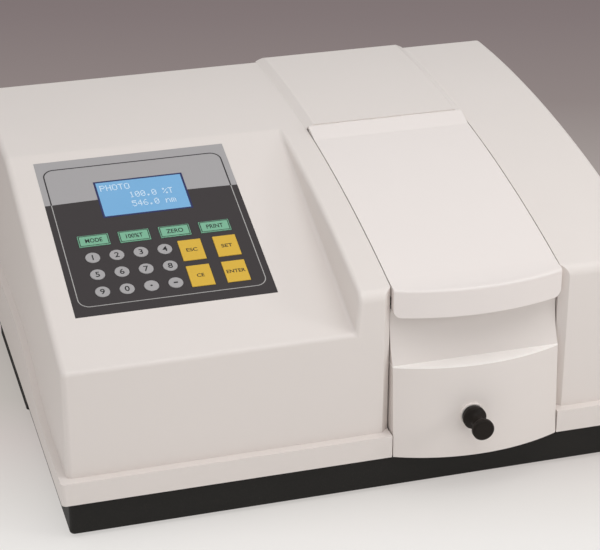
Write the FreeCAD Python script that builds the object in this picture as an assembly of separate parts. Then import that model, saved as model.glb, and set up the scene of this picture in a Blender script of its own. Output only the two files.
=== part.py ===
"""UV-VIS spectrophotometer: benchtop instrument with a sloping keypad, a hinged lid over the
sample compartment and a four-cell carriage moved by a pull rod.

Millimetres. While the pieces are made, x = 0 is the middle of the width, y = 0 the front of
the cover's skirt and z = 0 the bench top. save() moves each piece so that the origin lies
under the middle of the whole instrument, knob included. +Y runs to the back, +Z up.
"""
import FreeCAD, Part
import math
import os

os.makedirs("parts", exist_ok=True)

V = FreeCAD.Vector
X = V(1, 0, 0)
Y = V(0, 1, 0)
Z = V(0, 0, 1)

# Overall size
WIDTH = 470.0
DEPTH = 393.0
FOOT_HEIGHT = 3.0
BASE_HEIGHT = 29.5

# Top cover
COVER_WALL = 3.0
SKIRT_HEIGHT = 18.5
SKIRT_RISE = 31.5
SKIRT_RISE_START = 60.0
SKIRT_RISE_LENGTH = 150.0
SKIRT_STEP_SIDE = 5.5
SKIRT_STEP_FRONT = 7.4
SKIRT_CORNER = 3.5
SKIRT_ROOT = 2.0
ROOF_CREST_Z = 212.5
ROOF_CREST_Y = 330.0
ROOF_RADIUS = 1240.0
FRONT_ROUND = 9.0
BACK_ROUND = 4.0
SIDE_ROUND = 4.5
PANEL_FRONT_Z = 138.3
PANEL_SLOPE = 16.9
PANEL_ROUND = 4.0
ROOF_LINE_ROUND = 12.0
WALL_TOP_ROUND = 3.0
WALL_FOOT_ROUND = 3.0
WALL_OVERLAP = 12.0
PANEL_WALL_DRAFT = 5.0
STRIP_WIDTH = 29.0
SPINE_LIFT = 3.6
SPINE_CHAMFER = 7.0
SPINE_FOOT = 1.0
SPINE_ROOT = 20.0
REAR_WINDOW_SIDE = 43.0
REAR_WINDOW_TOP = 140.0
REAR_WINDOW_CORNER = 4.0

# Sample compartment: lid, front panel and their place
SPINE_X = 86.0
LID_WIDTH = 133.0
LID_GAP = 0.8
LID_WALL = 2.5
LID_SKIRT_Z = 163.0
LID_CREASE = 18.5
LIP_FRONT = 7.0
LIP_BOW = 11.3
LIP_TOP_Z = 171.0
LIP_BOTTOM_Z = 148.4
LIP_CORNER = 6.0
LIP_EDGE = 2.0
LIP_BLEND = 0.3
LID_MARGIN = 5.0
LID_FLAT_Y = 3.0
LID_BLEND_Y = 20.0
HINGE_Y = 232.6
HINGE_PIN_R = 0.75
HINGE_BARREL_R = 1.5
HINGE_FRONT_GAP = 1.6
HINGE_BACK_GAP = 2.0
HINGE_WEB_ROOT = 0.5
HINGE_PIN_SET_IN = 1.0
KNUCKLE_GAP = 0.3
RUNNING = 0.05
CHANNEL_SIDE = 6.0
WELL_BELOW = 8.0
PILLAR = 11.0
PILLAR_GAP = 0.5
BELLY_FOOT_BOW = 13.5
BELLY_TOP_Z = 107.5
BELLY_TOP_BACK = 6.0
BELLY_SIDE_GAP = 0.2
BELLY_TOP_EASE = 0.5
COVE_TOP_Z = 152.0
COVE_TOP_Y = 15.0
COVE_DEPTH = 4.0
PANEL_BOARD = 3.0
PANEL_LEDGE_GAP = 0.5

# Pull rod
ROD_X = 78.0
ROD_Z = 67.1
ROD_R = 3.0
BUSH_R = 6.0
BUSH_FLANGE_R = 8.3
BUSH_FLANGE = 2.6
BUSH_LENGTH = 12.0
BUSH_EDGE = 0.8
BUSH_BOSS = 8.0
BUSH_BOSS_WALL = 1.0
BUSH_BOSS_SINK = 1.6
KNOB_REACH = 37.0
KNOB_DISC_R = 7.7
KNOB_DISC = 5.5
KNOB_WAIST_R = 4.4
KNOB_BACK_R = 8.0
KNOB_BACK = 3.4
KNOB_GAP = 0.4
KNOB_SOFT = 1.6
KNOB_EDGE = 0.6
KNOB_FLARE = 1.0

# Base
BASE_INSET = 5.8
TRAY_WALL = 2.5
TRAY_RIM = 12.0
TRAY_FIT = 0.5
TRAY_CORNER = 4.0
TRAY_EDGE = 2.0
FOOT_R = 9.0
FOOT_TAPER = 1.0
FOOT_INSET_X = 45.0
FOOT_INSET_Y = 42.0
VENT_START = 185.0
VENT_LENGTH = 140.0
VENT_LOW = 10.0
VENT_HEIGHT = 17.0
VENT_PROUD = 3.0
VENT_ROUND = 2.5
VENT_SLOT = 2.6
VENT_PITCH = 5.2
VENT_SLOTS = 3
VENT_END = 4.0
SCREW_R = 1.9
SCREW_HEAD_R = 3.6
SCREW_HEAD = 2.6
SCREW_CLEARANCE = 0.15
SCREW_RECESS = 0.4
SCREW_SLOT = 0.8
BOSS_R = 5.5
BOSS_INSET = 21.0
BOSS_FRONT = 36.0
BOSS_BACK = 41.0
BOSS_TOP = 46.0
BOSS_BLOCK = 26.0
BOSS_CLEAR = 3.0

# Keypad: places are along the width and up the slope from the panel's front edge
OVERLAY_LEFT = 21.2
OVERLAY_WIDTH = 154.0
OVERLAY_LOW = 55.0
OVERLAY_LENGTH = 178.0
OVERLAY_THICK = 0.8
OVERLAY_FIT = 0.1
LCD_X = 42.0
LCD_WIDTH = 71.5
LCD_LOW = 105.2
LCD_HEIGHT = 43.0
LCD_MARGIN = 2.0
LCD_GLASS_STEP = 0.5
LCD_GLASS_GAP = 0.2
LCD_BEZEL = 2.0
LCD_BEZEL_DEPTH = 5.5
LCD_BOARD = 7.0
KEY_FIT = 0.25
KEY_PROUD = 0.4
KEY_FLANGE = 0.9
KEY_FLANGE_THICK = 1.1
KEY_ROOT = 0.2
KEY_GAP = 0.1
DOME_GAP = 0.05
DOME_SIDE = 5.0
KEY_WELL_MARGIN = 4.0
KEY_BOARD_MARGIN = 3.0
KEY_TRAVEL = 0.6
KEY_EDGE = 0.2
ROUND_KEY_R = 5.6
ROUND_KEY_X = 25.0
ROUND_KEY_PITCH = 18.6
KEY_ROW_LOW = 24.0
KEY_ROW_PITCH = 19.0
GREEN_KEY_X = 29.5
GREEN_KEY_PITCH = 31.7
GREEN_KEY_WIDTH = 24.0
GREEN_KEY_HEIGHT = 12.5
GREEN_KEY_ROW = 81.0
YELLOW_KEY_X = (101.0, 128.5)
YELLOW_KEY_WIDTH = 18.0
YELLOW_KEY_HEIGHT = 23.0
YELLOW_KEY_ROWS = (28.5, 57.5)

# Sample chamber, cell carriage and cells
BENCH_TOP = 48.0
BENCH_THICK = 8.0
CHAMBER_WIDTH = 120.0
CHAMBER_FRONT = 24.0
CHAMBER_BACK = 226.0
CHAMBER_WALL = 2.5
CHAMBER_TOP = 158.0
CHAMBER_FLANGE = 3.0
CHAMBER_LEDGE = 3.0
CHAMBER_CORNER = 6.0
CHAMBER_ROD_GAP = 0.3
CHAMBER_FLANGE_GAP = 1.0
GASKET_WIDTH = 5.0
GASKET_GAP = 0.3
GASKET_SET_IN = 0.5
PORT_R = 8.0
LENS_CURVE_R = 30.0
LENS_BULGE = 1.2
BEAM_Y = 112.0
CELL_SIDE = 12.5
CELL_HEIGHT = 45.0
CELL_WALL = 1.25
CELL_FIT = 0.15
CELL_PITCH = 18.0
CELL_COUNT = 4
CELL_FLOOR = 60.0
BEAM_ABOVE_CELL = 15.0
BEAM_HOLE_R = 3.5
HOLDER_WIDTH = 30.0
HOLDER_END = 12.0
HOLDER_TOP = 92.0
HOLDER_CORNER = 2.0
RAIL_HEIGHT = 3.0
RAIL_WIDTH = 4.0
RAIL_SPREAD = 10.0
RAIL_CLEARANCE = 0.1
STOPPER_HEIGHT = 5.0
STOPPER_PLUG = 3.0
STOPPER_FIT = 0.1

# Optics on the bench
BENCH_SIDE = 8.0
BENCH_LIP = 4.0
BENCH_POST_R = 8.0
BENCH_POST_INSET = 14.0
BENCH_POST_ROOT = 0.5
BENCH_MOTOR_GAP = 1.0
MONO_WALL = 3.0
MONO_SIDE = 49.0
MONO_GAP = 6.0
MONO_FRONT = 90.0
MONO_LAMP_GAP = 6.0
MONO_HEIGHT = 70.0
MONO_CORNER = 4.0
TABLE_IN = 76.0
TABLE_Y = 190.0
TABLE_R = 20.0
TABLE_THICK = 4.0
TABLE_GAP = 0.3
TABLE_BACK_WIDTH = 24.0
TABLE_BACK_THICK = 4.0
TABLE_BACK_HEIGHT = 30.0
TABLE_BACK_Y = 5.0
SPINDLE_R = 3.0
SPINDLE_DROP = 6.0
GRATING_SIDE = 30.0
GRATING_THICK = 6.0
GRATING_RULINGS = 9
GRATING_PITCH = 3.0
GRATING_RULE_WIDTH = 2.0
GRATING_RULE_DEPTH = 0.5
MOTOR_SIDE = 35.0
MOTOR_HEIGHT = 24.0
MOTOR_TOP_GAP = 6.5
MOTOR_EARS = 50.0
MOTOR_EAR_WIDTH = 10.0
MOTOR_EAR_THICK = 2.0
MOTOR_HUB_R = 5.0
MOTOR_HUB = 3.5
MOTOR_END_GAP = 0.2
SLIT_WIDTH = 24.0
SLIT_HEIGHT = 30.0
SLIT_THICK = 1.5
SLIT_OPEN = 1.0
SLIT_LENGTH = 10.0
EXIT_SLIT_CUT = 4.0
ENTRY_SLIT_CUT = 3.0
WHEEL_R = 21.0
WHEEL_THICK = 2.5
WHEEL_HOLES = 6
WHEEL_PITCH_R = 14.0
WHEEL_SHAFT_R = 2.0
WHEEL_SHAFT_FRONT = 4.0
WHEEL_SHAFT_BACK = 2.0
WHEEL_SLIT_GAP = 1.0
FILTER_R = 5.0
MIRROR_SIDE = 40.0
MIRROR_THICK = 8.0
MIRROR_CURVE_R = 220.0
MIRROR_HOLLOW = 1.0
MIRROR_FOOT = 4.0
MIRROR_FOOT_BACK = 6.0
LEFT_MIRROR = (34.0, 26.0, 165.0)
RIGHT_MIRROR = (-8.0, 30.0, 200.0)
LAMP_WALL = 1.5
LAMP_WIDTH = 104.0
LAMP_DEPTH = 69.0
LAMP_FAN_GAP = 2.7
LAMP_HEIGHT = 80.0
LAMP_SLOTS = 6
LAMP_SLOT = 6.0
LAMP_SLOT_PITCH = 14.0
LAMP_SLOT_MARGIN = 12.0
LAMP_MIRROR_BACK = 24.0
LAMP_MIRROR_WIDTH = 26.0
LAMP_MIRROR_HEIGHT = 34.0
LAMP_MIRROR_THICK = 3.0
LAMP_MIRROR_TURN = 45.0
LAMP_ARM_R = 5.0
LAMP_ARM = 8.0
LAMP_SHAFT_R = 2.0
LAMP_SHAFT = 6.0
LAMP_FROM_BACK = 26.0
DEUTERIUM_FROM_SIDE = 22.0
DEUTERIUM_R = 14.0
DEUTERIUM_HEIGHT = 56.0
DEUTERIUM_CROWN = 5.0
DEUTERIUM_BASE = 6.0
DEUTERIUM_BASE_WIDER = 3.0
TUNGSTEN_FROM_SIDE = 18.0
TUNGSTEN_R = 5.5
TUNGSTEN_HEIGHT = 26.0
TUNGSTEN_CROWN = 4.0
TUNGSTEN_BASE = (16.0, 12.0, 8.0)
LAMP_SUNK = 1.0
DETECTOR_GAP = 6.0
DETECTOR_SIDE = 38.0
DETECTOR_HEIGHT = 50.0
DETECTOR_CORNER = 3.0
DETECTOR_MOUTH_R = 6.0
DETECTOR_MOUTH = 12.0
DIODE_R = 5.0
DIODE_LENGTH = 4.0
DIODE_ROOT = 1.0

# Electrics
BOARD_THICK = 1.6
MAIN_BOARD_LENGTH = 216.0
MAIN_BOARD_DEPTH = 62.0
STANDOFF_HEIGHT = 6.0
STANDOFF_R = 3.5
STANDOFF_INSET = 5.0
BOARD_GAP = 3.0
CHIPS = (
    (34.0, 22.0, 28.0, 14.0, 3.0), (80.0, 20.0, 22.0, 22.0, 3.0), (120.0, 34.0, 16.0, 8.0, 3.0),
    (120.0, 16.0, 16.0, 8.0, 3.0), (156.0, 20.0, 30.0, 10.0, 12.0), (196.0, 30.0, 10.0, 26.0, 9.0),
    (20.0, 46.0, 30.0, 8.0, 8.0), (70.0, 50.0, 20.0, 6.0, 4.0),
)
CAPACITORS = 3
CAPACITOR_R = 5.0
CAPACITOR_HEIGHT = 14.0
CAPACITOR_PITCH = 14.0
CAPACITOR_X = 148.0
CAPACITOR_Y = 44.0
SOLDER = 0.1
SUPPLY_LENGTH = 108.0
SUPPLY_DEPTH = 76.0
SUPPLY_HEIGHT = 46.0
SUPPLY_WALL = 1.2
SUPPLY_FLOOR = 4.0
SUPPLY_FRONT_GAP = 2.0
SUPPLY_GAP = 1.5
SUPPLY_SLOTS = 7
SUPPLY_SLOT = 4.0
SUPPLY_SLOT_LENGTH = 20.0
SUPPLY_SLOT_PITCH = 11.0
SUPPLY_ROW_PITCH = 30.0
REAR_PANEL_SIDE = 31.0
REAR_PANEL_TOP = 148.0
REAR_PANEL_THICK = 2.5
FAN_SIDE = 60.0
FAN_DEPTH = 15.0
FAN_FROM_PORTS = 50.0
FAN_Z = 88.0
FAN_BORE_R = 28.0
FAN_HUB_R = 11.0
FAN_PIN_R = 2.0
FAN_PIN_END = 3.0
FAN_SPOKE = 3.0
FAN_ROTOR_GAP = 0.5
FAN_ROTOR_END = 5.0
FAN_BLADES = 7
FAN_BLADE_THICK = 1.4
FAN_BLADE_CHORD = 14.0
FAN_BLADE_PITCH = 38.0
FAN_BLADE_ROOT = 2.0
FAN_TIP_GAP = 1.0
GRILLE_RINGS = 4
GRILLE_PITCH = 6.5
GRILLE_SLOT = 4.0
GRILLE_BAR = 3.0
GRILLE_EDGE = 1.0
INLET_FROM_SIDE = 73.0
INLET_Z = 82.0
INLET_WIDTH = 30.0
INLET_HEIGHT = 62.0
INLET_CORNER = 1.0
INLET_CUT_EDGE = 2.0
INLET_BODY_EDGE = 2.2
INLET_BODY = 26.0
INLET_BODY_ROOT = 0.5
INLET_FLANGE = 3.0
SOCKET_WIDTH = 19.0
SOCKET_HEIGHT = 16.0
SOCKET_LOW = 5.0
SOCKET_DEPTH = 16.0
PIN_PLACES = ((0.0, 3.0), (-6.0, -3.0), (6.0, -3.0))
PIN_WIDTH = 4.0
PIN_THICK = 2.0
PIN_SHORT = 1.0
DRAWER_WIDTH = 16.0
DRAWER_LOW = 24.0
DRAWER_HEIGHT = 8.0
DRAWER_DEPTH = 0.6
ROCKER_WIDTH = 13.0
ROCKER_LENGTH = 19.0
ROCKER_TILT = 8.0
ROCKER_FROM_TOP = 15.0
ROCKER_AXIS_IN = 2.0
ROCKER_BACK = 3.0
ROCKER_OUT = 4.0
ROCKER_DISH = 1.6
ROCKER_TAPER = 0.6
ROCKER_PIN_R = 1.0
ROCKER_SIDE_GAP = 0.4
ROCKER_END_GAP = 1.2
ROCKER_SEAT = 10.0
PORT_FROM_INLET = 40.0
PORT_ROWS = (66.0, 96.0)
PORT_WIDTH = 31.0
PORT_HEIGHT = 12.5
PORT_PLATE = 0.8
PORT_SHELL_SIDE = 6.5
PORT_SHELL_EDGE = 2.0
PORT_SHELL_SLANT = 1.5
PORT_SHELL_IN = 8.0
PORT_SHELL_OUT = 5.0
PORT_CUT_SIDE = 5.0
PORT_CUT_EDGE = 1.5
PORT_NUT_R = 2.2
PORT_NUT_IN = 3.0
PORT_NUT = 5.0

# Worked out from the above
SEAM_Z = FOOT_HEIGHT + BASE_HEIGHT
FLOOR_Z = FOOT_HEIGHT + TRAY_WALL
HALF = WIDTH / 2
FAR = 2 * WIDTH
UPPER_HALF = HALF - SKIRT_STEP_SIDE
FRONT_Y = SKIRT_STEP_FRONT
SLOPE = math.radians(PANEL_SLOPE)
LID_HALF = LID_WIDTH / 2
OPENING_HALF = LID_HALF + LID_GAP
BELLY_HALF = LID_HALF - BELLY_SIDE_GAP
WALL_X = SPINE_X - LID_HALF - STRIP_WIDTH
REAR_Y = DEPTH - BASE_INSET
PANEL_IN_Y = REAR_Y - REAR_PANEL_THICK
TRAY_HALF = HALF - BASE_INSET
RIM_HALF = UPPER_HALF - COVER_WALL - TRAY_FIT
RIM_FRONT = FRONT_Y + COVER_WALL + TRAY_FIT
BOSS_X = HALF - BOSS_INSET
BOSS_Y = (BOSS_FRONT, DEPTH - BOSS_BACK)
BUSH_SEAT_Y = BUSH_BOSS_SINK - BELLY_FOOT_BOW
CELL_Y = [BEAM_Y + i * CELL_PITCH for i in range(CELL_COUNT)]
BEAM_Z = CELL_FLOOR + BEAM_ABOVE_CELL
CHAMBER_LEFT = SPINE_X - CHAMBER_WIDTH / 2
CHAMBER_RIGHT = SPINE_X + CHAMBER_WIDTH / 2
LEDGE_HALF = OPENING_HALF - CHAMBER_FLANGE_GAP
LEDGE_FRONT = CHAMBER_FRONT - CHAMBER_LEDGE
LEDGE_BACK = HINGE_Y - CHAMBER_FLANGE_GAP
BENCH_LOW = BENCH_TOP - BENCH_THICK
DETECTOR_X = CHAMBER_RIGHT + DETECTOR_GAP
BENCH_RIGHT = DETECTOR_X + DETECTOR_SIDE + BENCH_SIDE
BOARD_X = -BOSS_X + BOSS_R + BOSS_CLEAR
BOARD_Y = RIM_FRONT + TRAY_WALL + BOARD_GAP
BOARD_Z = FLOOR_Z + STANDOFF_HEIGHT
LAMP_BACK = PANEL_IN_Y - FAN_DEPTH - LAMP_FAN_GAP
LAMP_FRONT = LAMP_BACK - LAMP_DEPTH
LAMP_LEFT = BOARD_X + SUPPLY_LENGTH + SUPPLY_GAP + BENCH_LIP
LAMP_RIGHT = LAMP_LEFT + LAMP_WIDTH
LAMP_MIRROR_Y = LAMP_FRONT + LAMP_MIRROR_BACK
SOURCE_X = (LAMP_LEFT + LAMP_RIGHT) / 2
MONO_LEFT = -HALF + MONO_SIDE
MONO_RIGHT = CHAMBER_LEFT - MONO_GAP
MONO_BACK = LAMP_FRONT - MONO_LAMP_GAP
MONO_FLOOR = BENCH_TOP + MONO_WALL
TABLE_X = MONO_LEFT + TABLE_IN
WHEEL_X = SOURCE_X - WHEEL_PITCH_R
INLET_X = HALF - INLET_FROM_SIDE
PORT_X = INLET_X - PORT_FROM_INLET
FAN_X = PORT_X - FAN_FROM_PORTS
FAN_Y = PANEL_IN_Y - FAN_DEPTH
ROCKER_Y = REAR_Y - ROCKER_AXIS_IN
ROCKER_Z = INLET_Z + INLET_HEIGHT / 2 - ROCKER_FROM_TOP
TOUCH = 0.01
Y_SHIFT = -(DEPTH - KNOB_REACH) / 2


def save(name, shape):
    """Move a finished piece to the instrument's own frame and write its file."""
    done = shape.copy()
    done.translate(V(0, Y_SHIFT, 0))
    done.exportStep("parts/" + name + ".step")


def box(x0, x1, y0, y1, z0, z1):
    return Part.makeBox(x1 - x0, y1 - y0, z1 - z0, V(x0, y0, z0))


def rod(centre, radius, length, axis):
    return Part.makeCylinder(radius, length, centre, axis)


def prism(points, along):
    """A straight prism from a closed outline of points."""
    wire = Part.makePolygon(points + [points[0]])
    return Part.Face(wire).extrude(along)


def edges_where(shape, test):
    """The edges whose middle point and two ends all pass a test."""
    found = []
    for edge in shape.Edges:
        low, high = edge.ParameterRange
        places = [edge.valueAt(low), edge.valueAt((low + high) / 2), edge.valueAt(high)]
        if all(test(place) for place in places):
            found.append(edge)
    return found


def upright_edges(shape):
    """The edges that run straight up and down."""
    found = []
    for edge in shape.Edges:
        low, high = edge.ParameterRange
        run = edge.valueAt(high) - edge.valueAt(low)
        if abs(run.z) > 0.5 and abs(run.x) < 1e-6 and abs(run.y) < 1e-6:
            found.append(edge)
    return found


def round_box(x0, x1, y0, y1, z0, z1, radius):
    """A box with its four upright edges rounded."""
    block = box(x0, x1, y0, y1, z0, z1)
    return block.makeFillet(radius, upright_edges(block))


def group(shapes):
    return Part.makeCompound(shapes)


# Top cover


def roof_z(y, inset=0.0, lift=0.0):
    """Height of the arched roof over a place y, or of a surface inset below it."""
    radius = ROOF_RADIUS - inset
    drop = ROOF_RADIUS - math.sqrt(radius ** 2 - (y - ROOF_CREST_Y) ** 2)
    return ROOF_CREST_Z - drop + lift


def roof_arc(x, y0, y1, inset=0.0, lift=0.0):
    """The roof's arc at x from y0 to y1 as an edge."""
    ym = (y0 + y1) / 2
    points = [V(x, y, roof_z(y, inset, lift)) for y in (y0, ym, y1)]
    return Part.Arc(*points).toShape()


def line(a, b):
    return Part.LineSegment(a, b).toShape()


def side_profile(x, y0, y1, z0, inset=0.0, lift=0.0):
    """Closed outline in the YZ plane with the roof's arc as its top."""
    top0 = V(x, y0, roof_z(y0, inset, lift))
    top1 = V(x, y1, roof_z(y1, inset, lift))
    low0 = V(x, y0, z0)
    low1 = V(x, y1, z0)
    arc = roof_arc(x, y0, y1, inset, lift)
    return Part.Wire([line(low0, top0), arc, line(top1, low1), line(low1, low0)])


def long_edges(shape, y, low):
    """The edges along X that lie at a place y, above a level."""
    found = edges_where(shape, lambda p: abs(p.y - y) < TOUCH and p.z > low)
    return [e for e in found if e.BoundBox.XLength > e.BoundBox.ZLength]


def body_block(inset):
    """The upper body without its sloping panel, inset all round for the hollow inside."""
    half = UPPER_HALF - inset
    y0 = FRONT_Y + inset
    y1 = DEPTH - inset
    outline = side_profile(-half, y0, y1, SEAM_Z, inset)
    block = Part.Face(outline).extrude(V(2 * half, 0, 0))
    block = block.makeFillet(FRONT_ROUND - inset, long_edges(block, y0, SEAM_Z + TOUCH))
    return block.makeFillet(BACK_ROUND - inset, long_edges(block, y1, SEAM_Z + TOUCH))


def round_sides(block, half, radius):
    """Round the edges all round both side faces, apart from the bottom one."""
    rim = edges_where(block, lambda p: abs(abs(p.x) - half) < TOUCH)
    rim = [e for e in rim if e.BoundBox.ZMax > SEAM_Z + TOUCH]
    return block.makeFillet(radius, rim)


def panel_z(y, inset=0.0):
    return PANEL_FRONT_Z + (y - FRONT_Y) * math.tan(SLOPE) - inset / math.cos(SLOPE)


def panel_block(inset):
    """What stays under the keypad's slope, from the front to far behind where it meets the roof."""
    half = UPPER_HALF - inset
    y0 = FRONT_Y + inset
    points = [V(-half, y0, 0), V(-half, y0, panel_z(y0, inset))]
    points += [V(-half, FAR, panel_z(FAR, inset)), V(-half, FAR, 0)]
    block = prism(points, V(2 * half, 0, 0))
    if inset:
        return block
    block = block.makeFillet(PANEL_ROUND, long_edges(block, y0, SEAM_Z))
    rim = edges_where(block, lambda p: abs(p.x + half) < TOUCH)
    rim = [e for e in rim if e.BoundBox.YMin < FAR - 1 and e.BoundBox.ZMax > 1]
    return block.makeFillet(SIDE_ROUND, rim)


def wall_x(z, inset=0.0):
    """The keypad's side wall leans by its draft: its place at a height."""
    return WALL_X + inset + (z - PANEL_FRONT_Z) * math.tan(math.radians(PANEL_WALL_DRAFT))


def left_region(inset):
    """All the space left of the keypad's side wall."""
    points = [V(-FAR, -FAR, 0), V(wall_x(0, inset), -FAR, 0)]
    points += [V(wall_x(FAR, inset), -FAR, FAR), V(-FAR, -FAR, FAR)]
    return prism(points, V(0, 3 * FAR, 0))


def cover_form():
    """The cover's outer form: the raised right part with its keypad side wall rounded along its
    top, and the sloping left part let into it, with a hollow rounding along the wall's foot."""
    block = round_sides(body_block(0.0), UPPER_HALF, SIDE_ROUND)
    right = block.cut(left_region(0.0))
    rim = edges_where(right, lambda p: abs(p.x - wall_x(p.z)) < TOUCH)
    rim = [e for e in rim if e.BoundBox.ZMax > SEAM_Z + TOUCH and e.BoundBox.YMin < DEPTH - BACK_ROUND - TOUCH]
    right = right.makeFillet(WALL_TOP_ROUND, rim)
    left = block.common(left_region(WALL_OVERLAP)).common(panel_block(0.0))
    roof_line = edges_where(left, lambda p: abs(p.z - panel_z(p.y)) < TOUCH and abs(p.z - roof_z(p.y)) < TOUCH)
    roof_line = [e for e in roof_line if e.BoundBox.XLength > WIDTH / 4]
    left = left.makeFillet(ROOF_LINE_ROUND, roof_line)
    form = right.fuse(left).removeSplitter()
    foot = edges_where(form, lambda p: abs(p.x - wall_x(p.z)) < TOUCH and abs(p.z - panel_z(p.y)) < TOUCH)
    return form.makeFillet(WALL_FOOT_ROUND, [e for e in foot if e.Length > PANEL_ROUND])


def skirt():
    """The step round the foot of the cover, which sweeps up along both sides."""
    low = SEAM_Z
    ledge = SEAM_Z + SKIRT_HEIGHT
    front = box(-HALF, HALF, 0, FRONT_Y + 2 * COVER_WALL, low, ledge)
    solid = front.makeFillet(SKIRT_CORNER, [e for e in upright_edges(front) if e.BoundBox.YMax < TOUCH])
    mid_y = SKIRT_RISE_START + SKIRT_RISE_LENGTH / 2
    end_y = SKIRT_RISE_START + SKIRT_RISE_LENGTH
    radius = (SKIRT_RISE_LENGTH ** 2 + SKIRT_RISE ** 2) / (4 * SKIRT_RISE)
    turn = math.asin(SKIRT_RISE_LENGTH / 2 / radius) / 2
    dy = radius * math.sin(turn)
    dz = radius * (1 - math.cos(turn))
    for side in (-1, 1):
        x = side * (UPPER_HALF - SKIRT_ROOT)
        start = V(x, SKIRT_RISE_START, ledge)
        middle = V(x, mid_y, ledge + SKIRT_RISE / 2)
        end = V(x, end_y, ledge + SKIRT_RISE)
        lower = Part.Arc(start, start + V(0, dy, dz), middle).toShape()
        upper = Part.Arc(middle, end - V(0, dy, dz), end).toShape()
        y0 = SKIRT_CORNER
        back = V(x, DEPTH, ledge + SKIRT_RISE)
        edges = [line(V(x, y0, low), V(x, y0, ledge)), line(V(x, y0, ledge), start), lower, upper]
        edges += [line(end, back), line(back, V(x, DEPTH, low)), line(V(x, DEPTH, low), V(x, y0, low))]
        wing = Part.Face(Part.Wire(edges)).extrude(V(side * (SKIRT_STEP_SIDE + SKIRT_ROOT), 0, 0))
        solid = solid.fuse(wing)
    return solid.removeSplitter()


def spine():
    """The raised middle behind the lid, with a chamfer down to the roof on each side."""
    y0 = HINGE_Y + HINGE_BACK_GAP
    foot = OPENING_HALF + SPINE_FOOT
    shoulder = foot - SPINE_CHAMFER
    floor = REAR_WINDOW_TOP + SPINE_ROOT
    wires = []
    for offset, lift in ((-foot, 0.0), (-shoulder, SPINE_LIFT), (shoulder, SPINE_LIFT), (foot, 0.0)):
        wires.append(side_profile(SPINE_X + offset, y0, DEPTH, floor, 0.0, lift))
    block = Part.makeLoft(wires, True, True)
    back = box(-HALF, HALF, DEPTH - BACK_ROUND, DEPTH + 1, 0, FAR)
    rounded = body_block(0.0)
    rounded.translate(V(0, 0, SPINE_LIFT))
    return block.cut(back).fuse(block.common(back).common(rounded))


def opening(x_half, y_back, low):
    """All the space above and in front of the sample compartment, for cutting."""
    return box(SPINE_X - x_half, SPINE_X + x_half, -FAR, y_back, low, FAR)


def on_panel(shape):
    """Turn and move a shape made flat at the origin onto the keypad's slope."""
    done = shape.copy()
    done.rotate(V(0, 0, 0), X, PANEL_SLOPE)
    done.translate(V(-UPPER_HALF, FRONT_Y, PANEL_FRONT_Z))
    return done


def overlay_outline(grow, n0, n1):
    return box(OVERLAY_LEFT - grow, OVERLAY_LEFT + OVERLAY_WIDTH + grow, OVERLAY_LOW - grow,
               OVERLAY_LOW + OVERLAY_LENGTH + grow, n0, n1)


def lcd_outline(grow, n0, n1):
    x0 = OVERLAY_LEFT + LCD_X
    y0 = OVERLAY_LOW + LCD_LOW
    return box(x0 - grow, x0 + LCD_WIDTH + grow, y0 - grow, y0 + LCD_HEIGHT + grow, n0, n1)


def key_list():
    """Every key: name, kind, and its middle on the overlay."""
    keys = []
    names = ("1", "2", "3", "4", "5", "6", "7", "8", "9", "0", "point", "minus")
    for i, name in enumerate(names):
        col = i % 4
        row = i // 4
        x = ROUND_KEY_X + col * ROUND_KEY_PITCH
        keys.append(("key_" + name, "round", x, KEY_ROW_LOW + (2 - row) * KEY_ROW_PITCH))
    for i in range(4):
        keys.append(("key_green_%d" % (i + 1), "green", GREEN_KEY_X + i * GREEN_KEY_PITCH, GREEN_KEY_ROW))
    for i, x in enumerate(YELLOW_KEY_X):
        for j, y in enumerate(YELLOW_KEY_ROWS):
            keys.append(("key_yellow_%d" % (2 * i + j + 1), "yellow", x, y))
    return keys


def key_prism(kind, x, y, grow, n0, n1):
    """A key's outline, grown by an amount, from depth n0 to n1, in the panel's own axes."""
    cx = OVERLAY_LEFT + x
    cy = OVERLAY_LOW + y
    if kind == "round":
        return Part.makeCylinder(ROUND_KEY_R + grow, n1 - n0, V(cx, cy, n0), Z)
    w = GREEN_KEY_WIDTH / 2 if kind == "green" else YELLOW_KEY_WIDTH / 2
    h = GREEN_KEY_HEIGHT / 2 if kind == "green" else YELLOW_KEY_HEIGHT / 2
    return box(cx - w - grow, cx + w + grow, cy - h - grow, cy + h + grow, n0, n1)


KEYS = key_list()


def key_well(n0, n1):
    """The one opening in the cover that all the keys stand in."""
    xs = [k[2] for k in KEYS]
    ys = [k[3] for k in KEYS]
    x0 = OVERLAY_LEFT + min(xs) - GREEN_KEY_WIDTH / 2 - KEY_WELL_MARGIN
    x1 = OVERLAY_LEFT + max(xs) + GREEN_KEY_WIDTH / 2 + KEY_WELL_MARGIN
    y0 = OVERLAY_LOW + min(ys) - GREEN_KEY_HEIGHT / 2 - KEY_WELL_MARGIN
    y1 = OVERLAY_LOW + max(ys) + GREEN_KEY_HEIGHT / 2 + KEY_WELL_MARGIN
    return box(x0, x1, y0, y1, n0, n1)


def hinge_z():
    """Height of the lid's hinge axis, its barrel flush with the raised spine."""
    return roof_z(HINGE_Y, 0.0, SPINE_LIFT) - HINGE_BARREL_R


def knuckles(spans, web_y, clear):
    """Hinge knuckles over the given spans along X, each with a web to web_y."""
    solids = []
    z = hinge_z()
    for x0, x1 in spans:
        barrel = rod(V(x0, HINGE_Y, z), HINGE_BARREL_R, x1 - x0, X)
        y0 = min(HINGE_Y, web_y)
        y1 = max(HINGE_Y, web_y)
        web = box(x0, x1, y0, y1, z - HINGE_BARREL_R, z)
        bore = rod(V(x0 - 1, HINGE_Y, z), HINGE_PIN_R + clear, x1 - x0 + 2, X)
        solids.append(barrel.fuse(web).cut(bore))
    return solids


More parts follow.
